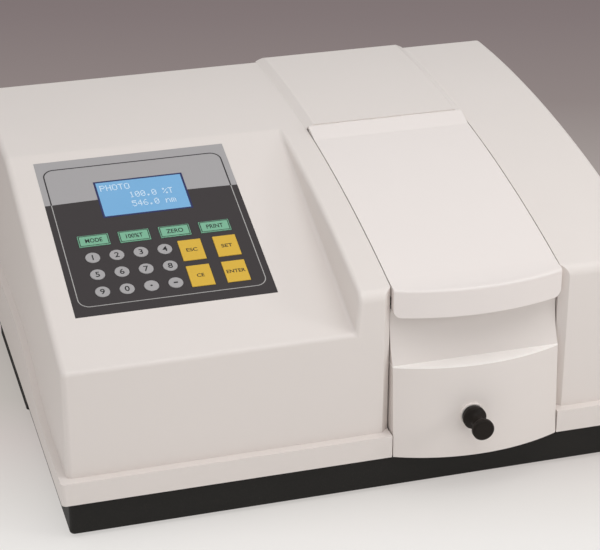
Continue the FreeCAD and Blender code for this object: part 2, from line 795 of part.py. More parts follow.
def knuckle_spans(mine):
    """Five knuckles along the hinge: the cover has the outer two and the middle one."""
    x0 = SPINE_X - LID_HALF
    step = LID_WIDTH / 5
    spans = []
    for i in range(5):
        if (i % 2 == 0) == mine:
            spans.append((x0 + i * step + KNUCKLE_GAP / 2, x0 + (i + 1) * step - KNUCKLE_GAP / 2))
    return spans


def cheek(side, low):
    """The slanted cut at one side of the front panel, above the skirt."""
    x = SPINE_X + side * OPENING_HALF
    points = [V(x - side, -FAR, low), V(x + side * CHANNEL_SIDE, -FAR, low)]
    points += [V(x + side * CHANNEL_SIDE, FRONT_Y, low), V(x - side, FRONT_Y + CHANNEL_SIDE + 1, low)]
    wedge = prism(points, V(0, 0, FAR))
    return wedge.cut(box(-FAR, FAR, -FAR - 1, DEPTH, low, SEAM_Z + SKIRT_HEIGHT))


def top_cover():
    outer = cover_form().fuse(spine()).fuse(skirt())
    low = SEAM_Z - 1
    inner = body_block(COVER_WALL)
    inner = inner.cut(left_region(COVER_WALL).cut(panel_block(COVER_WALL)))
    inner = inner.fuse(box(-UPPER_HALF + COVER_WALL, UPPER_HALF - COVER_WALL, FRONT_Y + COVER_WALL,
                           DEPTH - COVER_WALL, low, SEAM_Z + 1))
    # the well under the lid has a wall of its own all round, and a pillar each side of its front
    well_back = HINGE_Y + HINGE_BACK_GAP
    inner = inner.cut(opening(OPENING_HALF + COVER_WALL, well_back + COVER_WALL, CHAMBER_TOP - WELL_BELOW))
    for side in (-1, 1):
        x = SPINE_X + side * OPENING_HALF
        inner = inner.cut(box(min(x, x + side * PILLAR), max(x, x + side * PILLAR), 0,
                              FRONT_Y + CHANNEL_SIDE + 2 * COVER_WALL, 0, FAR))
    cover = outer.cut(inner)
    cover = cover.cut(opening(OPENING_HALF, well_back, low))
    for side in (-1, 1):
        cover = cover.cut(cheek(side, low))
    # keypad: a shallow pocket for the overlay, a well for the keys and a window for the display
    cover = cover.cut(on_panel(overlay_outline(OVERLAY_FIT, -OVERLAY_THICK, COVER_WALL)))
    cover = cover.cut(on_panel(key_well(-2 * COVER_WALL, COVER_WALL)))
    cover = cover.cut(on_panel(lcd_outline(LCD_MARGIN, -2 * COVER_WALL, COVER_WALL)))
    # window for the connector panel
    window_half = HALF - REAR_WINDOW_SIDE
    window = round_box(-window_half, window_half, DEPTH - 2 * BASE_INSET, DEPTH + BASE_INSET,
                       -REAR_WINDOW_CORNER, REAR_WINDOW_TOP, REAR_WINDOW_CORNER)
    cover = cover.cut(window)
    # screw blocks on the side walls, and the cover's share of the hinge
    for side in (-1, 1):
        for y in BOSS_Y:
            x_out = side * (UPPER_HALF - COVER_WALL / 2)
            x_in = side * (BOSS_X - BOSS_R)
            block = box(min(x_in, x_out), max(x_in, x_out), y - BOSS_R, y + BOSS_R,
                        BOSS_TOP, BOSS_TOP + BOSS_BLOCK)
            hole = rod(V(side * BOSS_X, y, BOSS_TOP - 1), SCREW_R + RUNNING, BOSS_BLOCK, Z)
            cover = cover.fuse(block).cut(hole)
    for solid in knuckles(knuckle_spans(True), well_back + HINGE_WEB_ROOT, 0.0):
        cover = cover.fuse(solid)
    return cover.removeSplitter()


# Lid


def bow_wire(ends, bow, half, back, z):
    """Closed plan outline with a bowed front and a straight back."""
    x0 = SPINE_X - half
    x1 = SPINE_X + half
    front = Part.Arc(V(x0, ends, z), V(SPINE_X, ends - bow, z), V(x1, ends, z)).toShape()
    sides = [line(V(x1, ends, z), V(x1, back, z)), line(V(x1, back, z), V(x0, back, z))]
    sides.append(line(V(x0, back, z), V(x0, ends, z)))
    return Part.Wire([front] + sides)


def lid_top_edges(x, inset, y_front, y_back):
    """The lid's top line from its front edge to its hinge edge, inset below the surface."""
    crease = HINGE_Y - LID_CREASE
    flat = LIP_TOP_Z - inset
    blend = V(x, LID_BLEND_Y, roof_z(LID_BLEND_Y, inset))
    start = V(x, LID_FLAT_Y, flat)
    middle = V(x, (LID_FLAT_Y + LID_BLEND_Y) / 2, flat + (blend.z - flat) * LIP_BLEND)
    rear = V(x, y_back, roof_z(HINGE_Y, inset, SPINE_LIFT))
    fold = V(x, crease, roof_z(crease, inset))
    return [
        line(V(x, y_front, flat), start),
        Part.Arc(start, middle, blend).toShape(),
        roof_arc(x, LID_BLEND_Y, crease, inset),
        line(fold, rear),
    ]


def lid_block(half, inset, bow_inset, y_back, low):
    """The lid's solid form down to a level, inset for its hollow."""
    x0 = SPINE_X - half
    y_front = LIP_FRONT - LIP_BOW - LID_MARGIN
    edges = lid_top_edges(x0, inset, y_front, y_back)
    first = edges[0].valueAt(edges[0].ParameterRange[0])
    rear_top = V(x0, y_back, roof_z(HINGE_Y, inset, SPINE_LIFT))
    edges.append(line(rear_top, V(x0, y_back, low)))
    edges.append(line(V(x0, y_back, low), V(x0, y_front, low)))
    edges.append(line(V(x0, y_front, low), first))
    block = Part.Face(Part.Wire(Part.__sortEdges__(edges))).extrude(V(2 * half, 0, 0))
    plan = Part.Face(bow_wire(LIP_FRONT + bow_inset, LIP_BOW, half, DEPTH, 0)).extrude(V(0, 0, FAR))
    return block.common(plan)


def lid():
    y_back = HINGE_Y - HINGE_FRONT_GAP
    shell = lid_block(LID_HALF, 0.0, 0.0, y_back, LIP_BOTTOM_Z)
    # behind the lip the side walls stop higher, above the compartment's seal
    shell = shell.cut(box(-HALF, HALF, COVE_TOP_Y - LIP_EDGE, DEPTH, 0, LID_SKIRT_Z))
    front = edges_where(shell, lambda p: p.y < LIP_FRONT + TOUCH and p.z > LIP_TOP_Z - TOUCH)
    shell = shell.makeFillet(LIP_EDGE, front)
    corners = [e for e in shell.Edges if e.BoundBox.ZMax < LIP_BOTTOM_Z + TOUCH]
    corners = [e for e in corners if e.BoundBox.XLength < TOUCH and e.BoundBox.YMax < COVE_TOP_Y]
    shell = shell.makeFillet(LIP_CORNER, corners)
    shell = shell.cut(lid_block(LID_HALF - LID_WALL, LID_WALL, LID_WALL, y_back - LID_WALL, LIP_BOTTOM_Z - 1))
    for solid in knuckles(knuckle_spans(False), y_back - HINGE_WEB_ROOT, RUNNING):
        shell = shell.fuse(solid)
    return shell.removeSplitter()


def hinge_pin():
    span = LID_WIDTH - 2 * HINGE_PIN_SET_IN
    return rod(V(SPINE_X - span / 2, HINGE_Y, hinge_z()), HINGE_PIN_R, span, X)


# Front panel


def belly_solid(shrink, low):
    """The bowed lower front, ruled from its foot to its top edge."""
    half = BELLY_HALF - shrink
    foot = bow_wire(shrink, BELLY_FOOT_BOW, half, COVE_TOP_Y + PANEL_BOARD - shrink, low)
    top = bow_wire(BELLY_TOP_BACK + shrink, BELLY_FOOT_BOW - BELLY_TOP_EASE, half,
                   COVE_TOP_Y + PANEL_BOARD - shrink, BELLY_TOP_Z - shrink)
    return Part.makeLoft([foot, top], True, True)


def cove_profile(x, back):
    """Section of the finger recess between the belly's ledge and the lid's lip."""
    low = V(x, BELLY_TOP_BACK, BELLY_TOP_Z - BELLY_TOP_EASE)
    high = V(x, COVE_TOP_Y, COVE_TOP_Z)
    middle = V(x, (low.y + high.y) / 2 + COVE_DEPTH, (low.z + high.z) / 2)
    edges = [Part.Arc(low, middle, high).toShape(), line(high, V(x, back, high.z))]
    edges += [line(V(x, back, high.z), V(x, back, low.z)), line(V(x, back, low.z), low)]
    return Part.Wire(edges)


def front_panel():
    half = BELLY_HALF
    back = COVE_TOP_Y + PANEL_BOARD
    shell = belly_solid(0.0, SEAM_Z).cut(belly_solid(PANEL_BOARD, SEAM_Z - TOUCH))
    face = Part.Face(cove_profile(SPINE_X - half, back)).extrude(V(2 * half, 0, 0))
    inner = Part.Face(cove_profile(SPINE_X - half + PANEL_BOARD, back)).extrude(
        V(2 * (half - PANEL_BOARD), 0, 0))
    inner.translate(V(0, PANEL_BOARD, -PANEL_BOARD))
    shell = shell.fuse(face.cut(inner))
    # the top flange reaches back to the chamber's flange
    flange = box(SPINE_X - half, SPINE_X + half, COVE_TOP_Y, LEDGE_FRONT - PANEL_LEDGE_GAP,
                 COVE_TOP_Z - PANEL_BOARD, COVE_TOP_Z)
    shell = shell.fuse(flange)
    # boss and bore for the pull rod's bush
    boss = rod(V(ROD_X, BUSH_SEAT_Y, ROD_Z), BUSH_FLANGE_R + BUSH_BOSS_WALL, BUSH_BOSS, Y)
    shell = shell.fuse(boss)
    bore = rod(V(ROD_X, BUSH_SEAT_Y - 1, ROD_Z), BUSH_R + RUNNING, 1 + back - BUSH_SEAT_Y, Y)
    return shell.cut(bore).removeSplitter()


# Pull rod, knob and bush


def rod_bush():
    face = BUSH_SEAT_Y - BUSH_FLANGE
    body = rod(V(ROD_X, face, ROD_Z), BUSH_R, BUSH_FLANGE + BUSH_LENGTH, Y)
    flange = rod(V(ROD_X, face, ROD_Z), BUSH_FLANGE_R, BUSH_FLANGE, Y)
    flange = flange.makeChamfer(BUSH_EDGE, edges_where(flange, lambda p: p.y < face + TOUCH))
    bore = rod(V(ROD_X, face - 1, ROD_Z), ROD_R + RUNNING, BUSH_FLANGE + BUSH_LENGTH + 2, Y)
    return body.fuse(flange).cut(bore)


def pull_knob():
    """A spool turned from one bar: front disc, waist and back disc."""
    front = -KNOB_REACH
    back = BUSH_SEAT_Y - BUSH_FLANGE - KNOB_GAP
    points = [
        (0, front), (KNOB_DISC_R - KNOB_SOFT, front), (KNOB_DISC_R, front + KNOB_SOFT),
        (KNOB_DISC_R, front + KNOB_DISC - KNOB_SOFT), (KNOB_WAIST_R, front + KNOB_DISC + KNOB_FLARE),
        (KNOB_WAIST_R, back - KNOB_BACK - KNOB_FLARE), (KNOB_BACK_R, back - KNOB_BACK + KNOB_EDGE),
        (KNOB_BACK_R, back), (0, back),
    ]
    outline = [V(ROD_X + r, y, ROD_Z) for r, y in points]
    edges = [line(outline[0], outline[1])]
    bulge = KNOB_SOFT * (1 - math.sqrt(0.5))
    tip = V(ROD_X + KNOB_DISC_R - bulge, front + bulge, ROD_Z)
    edges.append(Part.Arc(outline[1], tip, outline[2]).toShape())
    for a, b in zip(outline[2:], outline[3:] + [outline[0]]):
        edges.append(line(a, b))
    solid = Part.Face(Part.Wire(edges)).revolve(V(ROD_X, 0, ROD_Z), Y, 360)
    return solid.cut(rod(V(ROD_X, front + KNOB_DISC, ROD_Z), ROD_R, KNOB_REACH, Y))


def pull_rod():
    start = -KNOB_REACH + KNOB_DISC
    return rod(V(ROD_X, start, ROD_Z), ROD_R, CELL_Y[0] - HOLDER_END - start, Y)


# Base


def side_vents(tray):
    """Ribbed air intakes standing proud of both sides of the base."""
    for side in (-1, 1):
        x_out = side * (TRAY_HALF + VENT_PROUD)
        x_in = side * (TRAY_HALF - 1)
        pad = box(min(x_in, x_out), max(x_in, x_out), VENT_START, VENT_START + VENT_LENGTH,
                  VENT_LOW, VENT_LOW + VENT_HEIGHT)
        ends = [e for e in upright_edges(pad) if abs(abs(e.BoundBox.XMin) - abs(x_out)) < TOUCH]
        tray = tray.fuse(pad.makeFillet(VENT_ROUND, ends))
        first = VENT_LOW + (VENT_HEIGHT - (VENT_SLOTS - 1) * VENT_PITCH) / 2
        x_far = side * (TRAY_HALF + 2 * VENT_PROUD)
        x_near = side * (RIM_HALF - 2 * TRAY_WALL)
        for i in range(VENT_SLOTS):
            z = first + i * VENT_PITCH
            slot = box(min(x_near, x_far), max(x_near, x_far), VENT_START + VENT_END,
                       VENT_START + VENT_LENGTH - VENT_END, z - VENT_SLOT / 2, z + VENT_SLOT / 2)
            tray = tray.cut(slot)
    return tray


def base_tray():
    body = round_box(-TRAY_HALF, TRAY_HALF, BASE_INSET, REAR_Y, FOOT_HEIGHT, SEAM_Z, TRAY_CORNER)
    bottom = edges_where(body, lambda p: abs(p.z - FOOT_HEIGHT) < TOUCH)
    body = body.makeFillet(TRAY_EDGE, bottom)
    rim = box(-RIM_HALF, RIM_HALF, RIM_FRONT, PANEL_IN_Y + TOUCH, SEAM_Z - 1, SEAM_Z + TRAY_RIM)
    hollow = box(-RIM_HALF + TRAY_WALL, RIM_HALF - TRAY_WALL, RIM_FRONT + TRAY_WALL, PANEL_IN_Y,
                 FLOOR_Z, FAR)
    tray = body.fuse(rim).cut(hollow)
    rear_half = HALF - REAR_PANEL_SIDE
    tray = tray.fuse(box(-rear_half, rear_half, PANEL_IN_Y, REAR_Y, SEAM_Z - 1, REAR_PANEL_TOP))
    # the rim is left out where the front panel and the pillars beside it stand
    notch = OPENING_HALF + PILLAR + PILLAR_GAP
    tray = tray.cut(box(SPINE_X - notch, SPINE_X + notch, 0, RIM_FRONT + TRAY_WALL + 1,
                        SEAM_Z, SEAM_Z + TRAY_RIM + 1))
    tray = rear_cutouts(side_vents(tray))
    for side in (-1, 1):
        for y in BOSS_Y:
            foot = V(side * BOSS_X, y, FOOT_HEIGHT)
            tray = tray.fuse(rod(foot, BOSS_R, BOSS_TOP - FOOT_HEIGHT, Z))
            tray = tray.cut(rod(foot, SCREW_R + SCREW_CLEARANCE, BOSS_TOP, Z))
            tray = tray.cut(rod(foot - V(0, 0, 1), SCREW_HEAD_R + SCREW_CLEARANCE,
                                1 + SCREW_HEAD + SCREW_RECESS, Z))
    for x, y in standoff_places():
        tray = tray.fuse(rod(V(x, y, FOOT_HEIGHT + 1), STANDOFF_R, BOARD_Z - FOOT_HEIGHT - 1, Z))
    return tray.removeSplitter()


def rear_cutouts(tray):
    """Openings in the rear panel for the fan, the mains inlet and the sockets."""
    y0 = PANEL_IN_Y - 1
    y1 = REAR_Y + 1
    centre = V(FAN_X, y0, FAN_Z)
    for ring in range(GRILLE_RINGS):
        outer = FAN_BORE_R - GRILLE_EDGE - ring * GRILLE_PITCH
        band = rod(centre, outer, y1 - y0, Y).cut(rod(centre, outer - GRILLE_SLOT, y1 - y0, Y))
        for turn in (45, -45):
            bar = box(-FAN_SIDE, FAN_SIDE, y0, y1, -GRILLE_BAR / 2, GRILLE_BAR / 2)
            bar.rotate(V(0, 0, 0), Y, turn)
            bar.translate(V(FAN_X, 0, FAN_Z))
            band = band.cut(bar)
        tray = tray.cut(band)
    half = INLET_WIDTH / 2 - INLET_CUT_EDGE
    tall = INLET_HEIGHT / 2 - INLET_CUT_EDGE
    tray = tray.cut(box(INLET_X - half, INLET_X + half, y0, y1, INLET_Z - tall, INLET_Z + tall))
    half = PORT_WIDTH / 2 - PORT_CUT_SIDE
    tall = PORT_HEIGHT / 2 - PORT_CUT_EDGE
    for z in PORT_ROWS:
        tray = tray.cut(box(PORT_X - half, PORT_X + half, y0, y1, z - tall, z + tall))
    return tray


def feet():
    solids = []
    for side in (-1, 1):
        for y in (FOOT_INSET_Y, DEPTH - FOOT_INSET_Y):
            place = V(side * (HALF - FOOT_INSET_X), y, 0)
            solids.append(Part.makeCone(FOOT_R - FOOT_TAPER, FOOT_R, FOOT_HEIGHT, place, Z))
    return group(solids)


def case_screws():
    solids = []
    base = FOOT_HEIGHT + SCREW_HEAD + SCREW_RECESS
    length = BOSS_TOP + BOSS_BLOCK / 2 - base
    for side in (-1, 1):
        for y in BOSS_Y:
            place = V(side * BOSS_X, y, base)
            head = rod(place - V(0, 0, SCREW_HEAD), SCREW_HEAD_R, SCREW_HEAD, Z)
            slot = box(-SCREW_HEAD_R, SCREW_HEAD_R, -SCREW_SLOT / 2, SCREW_SLOT / 2, -1, 1)
            slot.translate(place - V(0, 0, SCREW_HEAD))
            solids.append(head.fuse(rod(place, SCREW_R, length, Z)).cut(slot))
    return group(solids)


# Keypad pieces


def keypad_overlay():
    sheet = overlay_outline(0.0, -OVERLAY_THICK, 0.0)
    sheet = sheet.cut(lcd_outline(OVERLAY_FIT, -COVER_WALL, COVER_WALL))
    for name, kind, x, y in KEYS:
        sheet = sheet.cut(key_prism(kind, x, y, KEY_FIT, -COVER_WALL, COVER_WALL))
    return on_panel(sheet)


def lcd_window():
    return on_panel(lcd_outline(0.0, -OVERLAY_THICK, 0.0))


def lcd_module():
    back = -COVER_WALL - LCD_BEZEL_DEPTH
    glass = lcd_outline(LCD_MARGIN - LCD_GLASS_STEP, -COVER_WALL - KEY_GAP, -OVERLAY_THICK - LCD_GLASS_GAP)
    bezel = lcd_outline(LCD_MARGIN + LCD_BEZEL, back, -COVER_WALL)
    board = lcd_outline(LCD_MARGIN + LCD_BOARD, back - BOARD_THICK, back + SOLDER)
    return on_panel(glass.fuse(bezel).fuse(board))


def keypad_board():
    """Circuit board under the keys, with a snap pad under each."""
    well = key_well(-COVER_WALL - BOARD_THICK, -COVER_WALL).BoundBox
    board = box(well.XMin - KEY_BOARD_MARGIN, well.XMax + KEY_BOARD_MARGIN, well.YMin - KEY_BOARD_MARGIN,
                well.YMax + KEY_BOARD_MARGIN, well.ZMin, well.ZMax)
    height = COVER_WALL - OVERLAY_THICK - KEY_GAP - KEY_FLANGE_THICK - KEY_TRAVEL - DOME_GAP
    for name, kind, x, y in KEYS:
        px = OVERLAY_LEFT + x
        py = OVERLAY_LOW + y
        board = board.fuse(box(px - DOME_SIDE / 2, px + DOME_SIDE / 2, py - DOME_SIDE / 2, py + DOME_SIDE / 2,
                               -COVER_WALL, -COVER_WALL + height))
    return on_panel(board)


def key_cap(kind, x, y):
    """One key: a cap through the overlay and a flange that keeps it in."""
    top = -OVERLAY_THICK - KEY_GAP
    cap = key_prism(kind, x, y, 0.0, top - KEY_ROOT, KEY_PROUD)
    upper = edges_where(cap, lambda p: p.z > KEY_PROUD - TOUCH)
    cap = cap.makeChamfer(KEY_EDGE, upper)
    reach = cap.BoundBox
    flange = box(reach.XMin - KEY_FLANGE, reach.XMax + KEY_FLANGE, reach.YMin - KEY_FLANGE,
                 reach.YMax + KEY_FLANGE, top - KEY_FLANGE_THICK, top)
    return on_panel(cap.fuse(flange))


# Sample chamber and what is in it


def sample_chamber():
    shell = box(CHAMBER_LEFT, CHAMBER_RIGHT, CHAMBER_FRONT, CHAMBER_BACK, BENCH_TOP, CHAMBER_TOP)
    flange = box(SPINE_X - LEDGE_HALF, SPINE_X + LEDGE_HALF, LEDGE_FRONT, LEDGE_BACK,
                 CHAMBER_TOP - CHAMBER_FLANGE, CHAMBER_TOP)
    hollow = round_box(CHAMBER_LEFT + CHAMBER_WALL, CHAMBER_RIGHT - CHAMBER_WALL, CHAMBER_FRONT + CHAMBER_WALL,
                       CHAMBER_BACK - CHAMBER_WALL, BENCH_TOP + CHAMBER_WALL, FAR, CHAMBER_CORNER)
    shell = shell.fuse(flange).cut(hollow)
    for side in (-1, 1):
        x = SPINE_X + side * RAIL_SPREAD
        rail = box(x - RAIL_WIDTH / 2, x + RAIL_WIDTH / 2, CHAMBER_FRONT + 1, CHAMBER_BACK - 1,
                   BENCH_TOP + 1, BENCH_TOP + CHAMBER_WALL + RAIL_HEIGHT)
        shell = shell.fuse(rail)
    shell = shell.cut(rod(V(CHAMBER_LEFT - 1, BEAM_Y, BEAM_Z), PORT_R, CHAMBER_WIDTH + 2, X))
    rod_hole = rod(V(ROD_X, CHAMBER_FRONT - 1, ROD_Z), ROD_R + CHAMBER_ROD_GAP, CHAMBER_WALL + 2, Y)
    return shell.cut(rod_hole).removeSplitter()


def port_lenses():
    """A plano-convex window in each of the chamber's two light ports."""
    solids = []
    for side in (-1, 1):
        flat = V(SPINE_X + side * (CHAMBER_WIDTH / 2 - CHAMBER_WALL), BEAM_Y, BEAM_Z)
        out = V(side, 0, 0)
        ball = Part.makeSphere(LENS_CURVE_R, flat + out * (CHAMBER_WALL + LENS_BULGE - LENS_CURVE_R))
        solids.append(rod(flat, PORT_R - RUNNING, CHAMBER_WALL + 2 * LENS_BULGE, out).common(ball))
    return group(solids)


def chamber_gasket():
    edge = LEDGE_HALF - GASKET_SET_IN
    y0 = LEDGE_FRONT + GASKET_SET_IN
    y1 = LEDGE_BACK - GASKET_SET_IN
    ring = box(SPINE_X - edge, SPINE_X + edge, y0, y1, CHAMBER_TOP, LID_SKIRT_Z - GASKET_GAP)
    return ring.cut(box(SPINE_X - edge + GASKET_WIDTH, SPINE_X + edge - GASKET_WIDTH,
                        y0 + GASKET_WIDTH, y1 - GASKET_WIDTH, 0, FAR))


def cell_holder():
    x0 = SPINE_X - HOLDER_WIDTH / 2
    x1 = SPINE_X + HOLDER_WIDTH / 2
    low = BENCH_TOP + CHAMBER_WALL + RAIL_HEIGHT + RAIL_CLEARANCE
    block = round_box(x0, x1, CELL_Y[0] - HOLDER_END, CELL_Y[-1] + HOLDER_END, low, HOLDER_TOP, HOLDER_CORNER)
    pocket = CELL_SIDE / 2 + CELL_FIT
    for y in CELL_Y:
        block = block.cut(box(SPINE_X - pocket, SPINE_X + pocket, y - pocket, y + pocket, CELL_FLOOR, FAR))
        block = block.cut(rod(V(x0 - 1, y, BEAM_Z), BEAM_HOLE_R, HOLDER_WIDTH + 2, X))
    return block


def cuvettes():
    solids = []
    half = CELL_SIDE / 2
    inner = half - CELL_WALL
    for y in CELL_Y:
        cell = box(SPINE_X - half, SPINE_X + half, y - half, y + half, CELL_FLOOR, CELL_FLOOR + CELL_HEIGHT)
        cell = cell.cut(box(SPINE_X - inner, SPINE_X + inner, y - inner, y + inner,
                            CELL_FLOOR + CELL_WALL, FAR))
        solids.append(cell)
    return group(solids)


def cuvette_stoppers():
    solids = []
    half = CELL_SIDE / 2
    plug = half - CELL_WALL - STOPPER_FIT
    top = CELL_FLOOR + CELL_HEIGHT
    for y in CELL_Y:
        cap = box(SPINE_X - half, SPINE_X + half, y - half, y + half, top, top + STOPPER_HEIGHT)
        lower = box(SPINE_X - plug, SPINE_X + plug, y - plug, y + plug, top - STOPPER_PLUG, top + TOUCH)
        solids.append(cap.fuse(lower).removeSplitter())
    return group(solids)


# Optics


def optical_bench():
    """Cast plate that carries the optics, on legs that stand on the tray."""
    left = MONO_LEFT - BENCH_SIDE
    back = MONO_BACK + BENCH_LIP
    front = CHAMBER_FRONT + BENCH_LIP
    step_x = CHAMBER_LEFT - BENCH_LIP
    lamp_x0 = LAMP_LEFT - BENCH_LIP
    lamp_x1 = LAMP_RIGHT + BENCH_LIP
    lamp_y = LAMP_BACK + BENCH_LIP / 2
    bench = box(left, BENCH_RIGHT, MONO_FRONT - BENCH_LIP, back, BENCH_LOW, BENCH_TOP)
    bench = bench.fuse(box(step_x, BENCH_RIGHT, front, MONO_FRONT, BENCH_LOW, BENCH_TOP))
    bench = bench.fuse(box(lamp_x0, lamp_x1, MONO_BACK, lamp_y, BENCH_LOW, BENCH_TOP)).removeSplitter()
    inset = BENCH_POST_INSET
    places = [(left + inset, MONO_FRONT - BENCH_LIP + inset), (left + inset, back - inset)]
    places += [(BENCH_RIGHT - inset, front + inset), (BENCH_RIGHT - inset, back - inset)]
    places += [(step_x + inset, front + inset), (lamp_x0 + inset, lamp_y - inset)]
    places += [(lamp_x1 - inset, lamp_y - inset)]
    for x, y in places:
        bench = bench.fuse(rod(V(x, y, FLOOR_Z), BENCH_POST_R, BENCH_LOW - FLOOR_Z + BENCH_POST_ROOT, Z))
    for side in (-1, 1):
        for y in BOSS_Y:
            bench = bench.cut(rod(V(side * BOSS_X, y, 0), BOSS_R + BOSS_CLEAR, BOSS_TOP + BOSS_BLOCK, Z))
    # the grating's motor hangs in a round opening
    bench = bench.cut(rod(V(TABLE_X, TABLE_Y, BENCH_LOW - 1), MOTOR_SIDE / 2 + BENCH_MOTOR_GAP,
                          BENCH_THICK + 2, Z))
    return bench.removeSplitter()


def monochromator_case():
    top = BENCH_TOP + MONO_HEIGHT
    shell = round_box(MONO_LEFT, MONO_RIGHT, MONO_FRONT, MONO_BACK, BENCH_TOP, top, MONO_CORNER)
    shell = shell.cut(box(MONO_LEFT + MONO_WALL, MONO_RIGHT - MONO_WALL, MONO_FRONT + MONO_WALL,
                          MONO_BACK - MONO_WALL, MONO_FLOOR, top - MONO_WALL))
    through = 3 * MONO_WALL
    shell = shell.cut(rod(V(MONO_RIGHT - 2 * MONO_WALL, BEAM_Y, BEAM_Z), PORT_R, through, X))
    shell = shell.cut(rod(V(SOURCE_X, MONO_BACK - 2 * MONO_WALL, BEAM_Z), PORT_R, through, Y))
    shell = shell.cut(rod(V(TABLE_X, TABLE_Y, BENCH_TOP - 1), SPINDLE_R + RUNNING, MONO_WALL + 2, Z))
    return shell.cut(rod(V(WHEEL_X, MONO_BACK - 2 * MONO_WALL, BEAM_Z), WHEEL_SHAFT_R + RUNNING, through, Y))


def grating_table():
    """Turntable with a spindle down to its motor and an upright that the grating stands against."""
    z = MONO_FLOOR + TABLE_GAP
    disc = rod(V(TABLE_X, TABLE_Y, z), TABLE_R, TABLE_THICK, Z)
    foot = BENCH_TOP - SPINDLE_DROP
    spindle = rod(V(TABLE_X, TABLE_Y, foot), SPINDLE_R, z + TABLE_THICK / 2 - foot, Z)
    y = TABLE_Y + TABLE_BACK_Y
    upright = box(TABLE_X - TABLE_BACK_WIDTH / 2, TABLE_X + TABLE_BACK_WIDTH / 2, y, y + TABLE_BACK_THICK,
                  z + TABLE_THICK / 2, z + TABLE_THICK + TABLE_BACK_HEIGHT)
    return disc.fuse(spindle).fuse(upright).removeSplitter()


def grating():
    """Ruled grating: a block with a few coarse rulings standing for its fine ones."""
    z = MONO_FLOOR + TABLE_GAP + TABLE_THICK
    x0 = TABLE_X - GRATING_SIDE / 2
    back = TABLE_Y + TABLE_BACK_Y
    face = back - GRATING_THICK
    block = box(x0, x0 + GRATING_SIDE, face, back, z, z + GRATING_SIDE)
    for i in range(GRATING_RULINGS):
        x = x0 + (i + 1) * GRATING_PITCH
        points = [V(x, face, z - 1), V(x + GRATING_RULE_WIDTH, face, z - 1)]
        points.append(V(x + GRATING_RULE_DEPTH, face + GRATING_RULE_DEPTH, z - 1))
        block = block.cut(prism(points, V(0, 0, GRATING_SIDE + 2)))
    return block


def grating_motor():
    top = BENCH_TOP - MOTOR_TOP_GAP
    centre = V(TABLE_X, TABLE_Y, top - MOTOR_HEIGHT)
    body = rod(centre, MOTOR_SIDE / 2, MOTOR_HEIGHT, Z)
    ears = box(TABLE_X - MOTOR_EARS / 2, TABLE_X + MOTOR_EARS / 2, TABLE_Y - MOTOR_EAR_WIDTH / 2,
               TABLE_Y + MOTOR_EAR_WIDTH / 2, BENCH_LOW - MOTOR_EAR_THICK, BENCH_LOW)
    hub = rod(centre, MOTOR_HUB_R, MOTOR_HEIGHT + MOTOR_HUB, Z)
    seat = rod(V(TABLE_X, TABLE_Y, BENCH_TOP - SPINDLE_DROP - MOTOR_END_GAP), SPINDLE_R + RUNNING,
               SPINDLE_DROP, Z)
    return body.fuse(ears).fuse(hub).cut(seat).removeSplitter()


def mirror_solid():
    """A square concave mirror on a foot, facing -Y at the origin."""
    half = MIRROR_SIDE / 2
    block = box(-half, half, 0, MIRROR_THICK, 0, MIRROR_SIDE)
    block = block.cut(Part.makeSphere(MIRROR_CURVE_R, V(0, MIRROR_HOLLOW - MIRROR_CURVE_R, half)))
    foot = box(-half, half, MIRROR_HOLLOW, MIRROR_THICK + MIRROR_FOOT_BACK, -MIRROR_FOOT, TOUCH)
    return block.fuse(foot)


def mirrors():
    solids = []
    places = ((MONO_LEFT, LEFT_MIRROR), (SOURCE_X, RIGHT_MIRROR))
    for x, (dx, dy, turn) in places:
        piece = mirror_solid()
        piece.rotate(V(0, 0, 0), Z, turn)
        piece.translate(V(x + dx, MONO_FRONT + dy, MONO_FLOOR + MIRROR_FOOT))
        solids.append(piece)
    return group(solids)


def slit_plates():
    """Entrance and exit slits: two blackened plates on the case's inner walls."""
    half = SLIT_WIDTH / 2
    z0 = BEAM_Z - SLIT_HEIGHT / 2
    z1 = BEAM_Z + SLIT_HEIGHT / 2
    cut_z0 = BEAM_Z - SLIT_LENGTH / 2
    cut_z1 = BEAM_Z + SLIT_LENGTH / 2
    x = MONO_RIGHT - MONO_WALL
    leaving = box(x - SLIT_THICK, x, BEAM_Y - half + EXIT_SLIT_CUT, BEAM_Y + half, z0, z1)
    leaving = leaving.cut(box(x - SLIT_THICK - 1, x + 1, BEAM_Y - SLIT_OPEN / 2, BEAM_Y + SLIT_OPEN / 2,
                              cut_z0, cut_z1))
    y = MONO_BACK - MONO_WALL
    entering = box(SOURCE_X - half + ENTRY_SLIT_CUT, SOURCE_X + half, y - SLIT_THICK, y, z0, z1)
    entering = entering.cut(box(SOURCE_X - SLIT_OPEN / 2, SOURCE_X + SLIT_OPEN / 2, y - SLIT_THICK - 1, y + 1,
                                cut_z0, cut_z1))
    return group([leaving, entering])


def filter_wheel():
    """Six-place filter wheel on a stub shaft in the case's back wall."""
    y = MONO_BACK - MONO_WALL - SLIT_THICK - WHEEL_SLIT_GAP - WHEEL_THICK
    wheel = rod(V(WHEEL_X, y, BEAM_Z), WHEEL_R, WHEEL_THICK, Y)
    for i in range(WHEEL_HOLES):
        angle = 2 * math.pi * i / WHEEL_HOLES
        x = WHEEL_X + WHEEL_PITCH_R * math.cos(angle)
        z = BEAM_Z + WHEEL_PITCH_R * math.sin(angle)
        wheel = wheel.cut(rod(V(x, y - 1, z), FILTER_R, WHEEL_THICK + 2, Y))
    start = y - WHEEL_SHAFT_FRONT
    shaft = rod(V(WHEEL_X, start, BEAM_Z), WHEEL_SHAFT_R, MONO_BACK + WHEEL_SHAFT_BACK - start, Y)
    return wheel.fuse(shaft).removeSplitter()


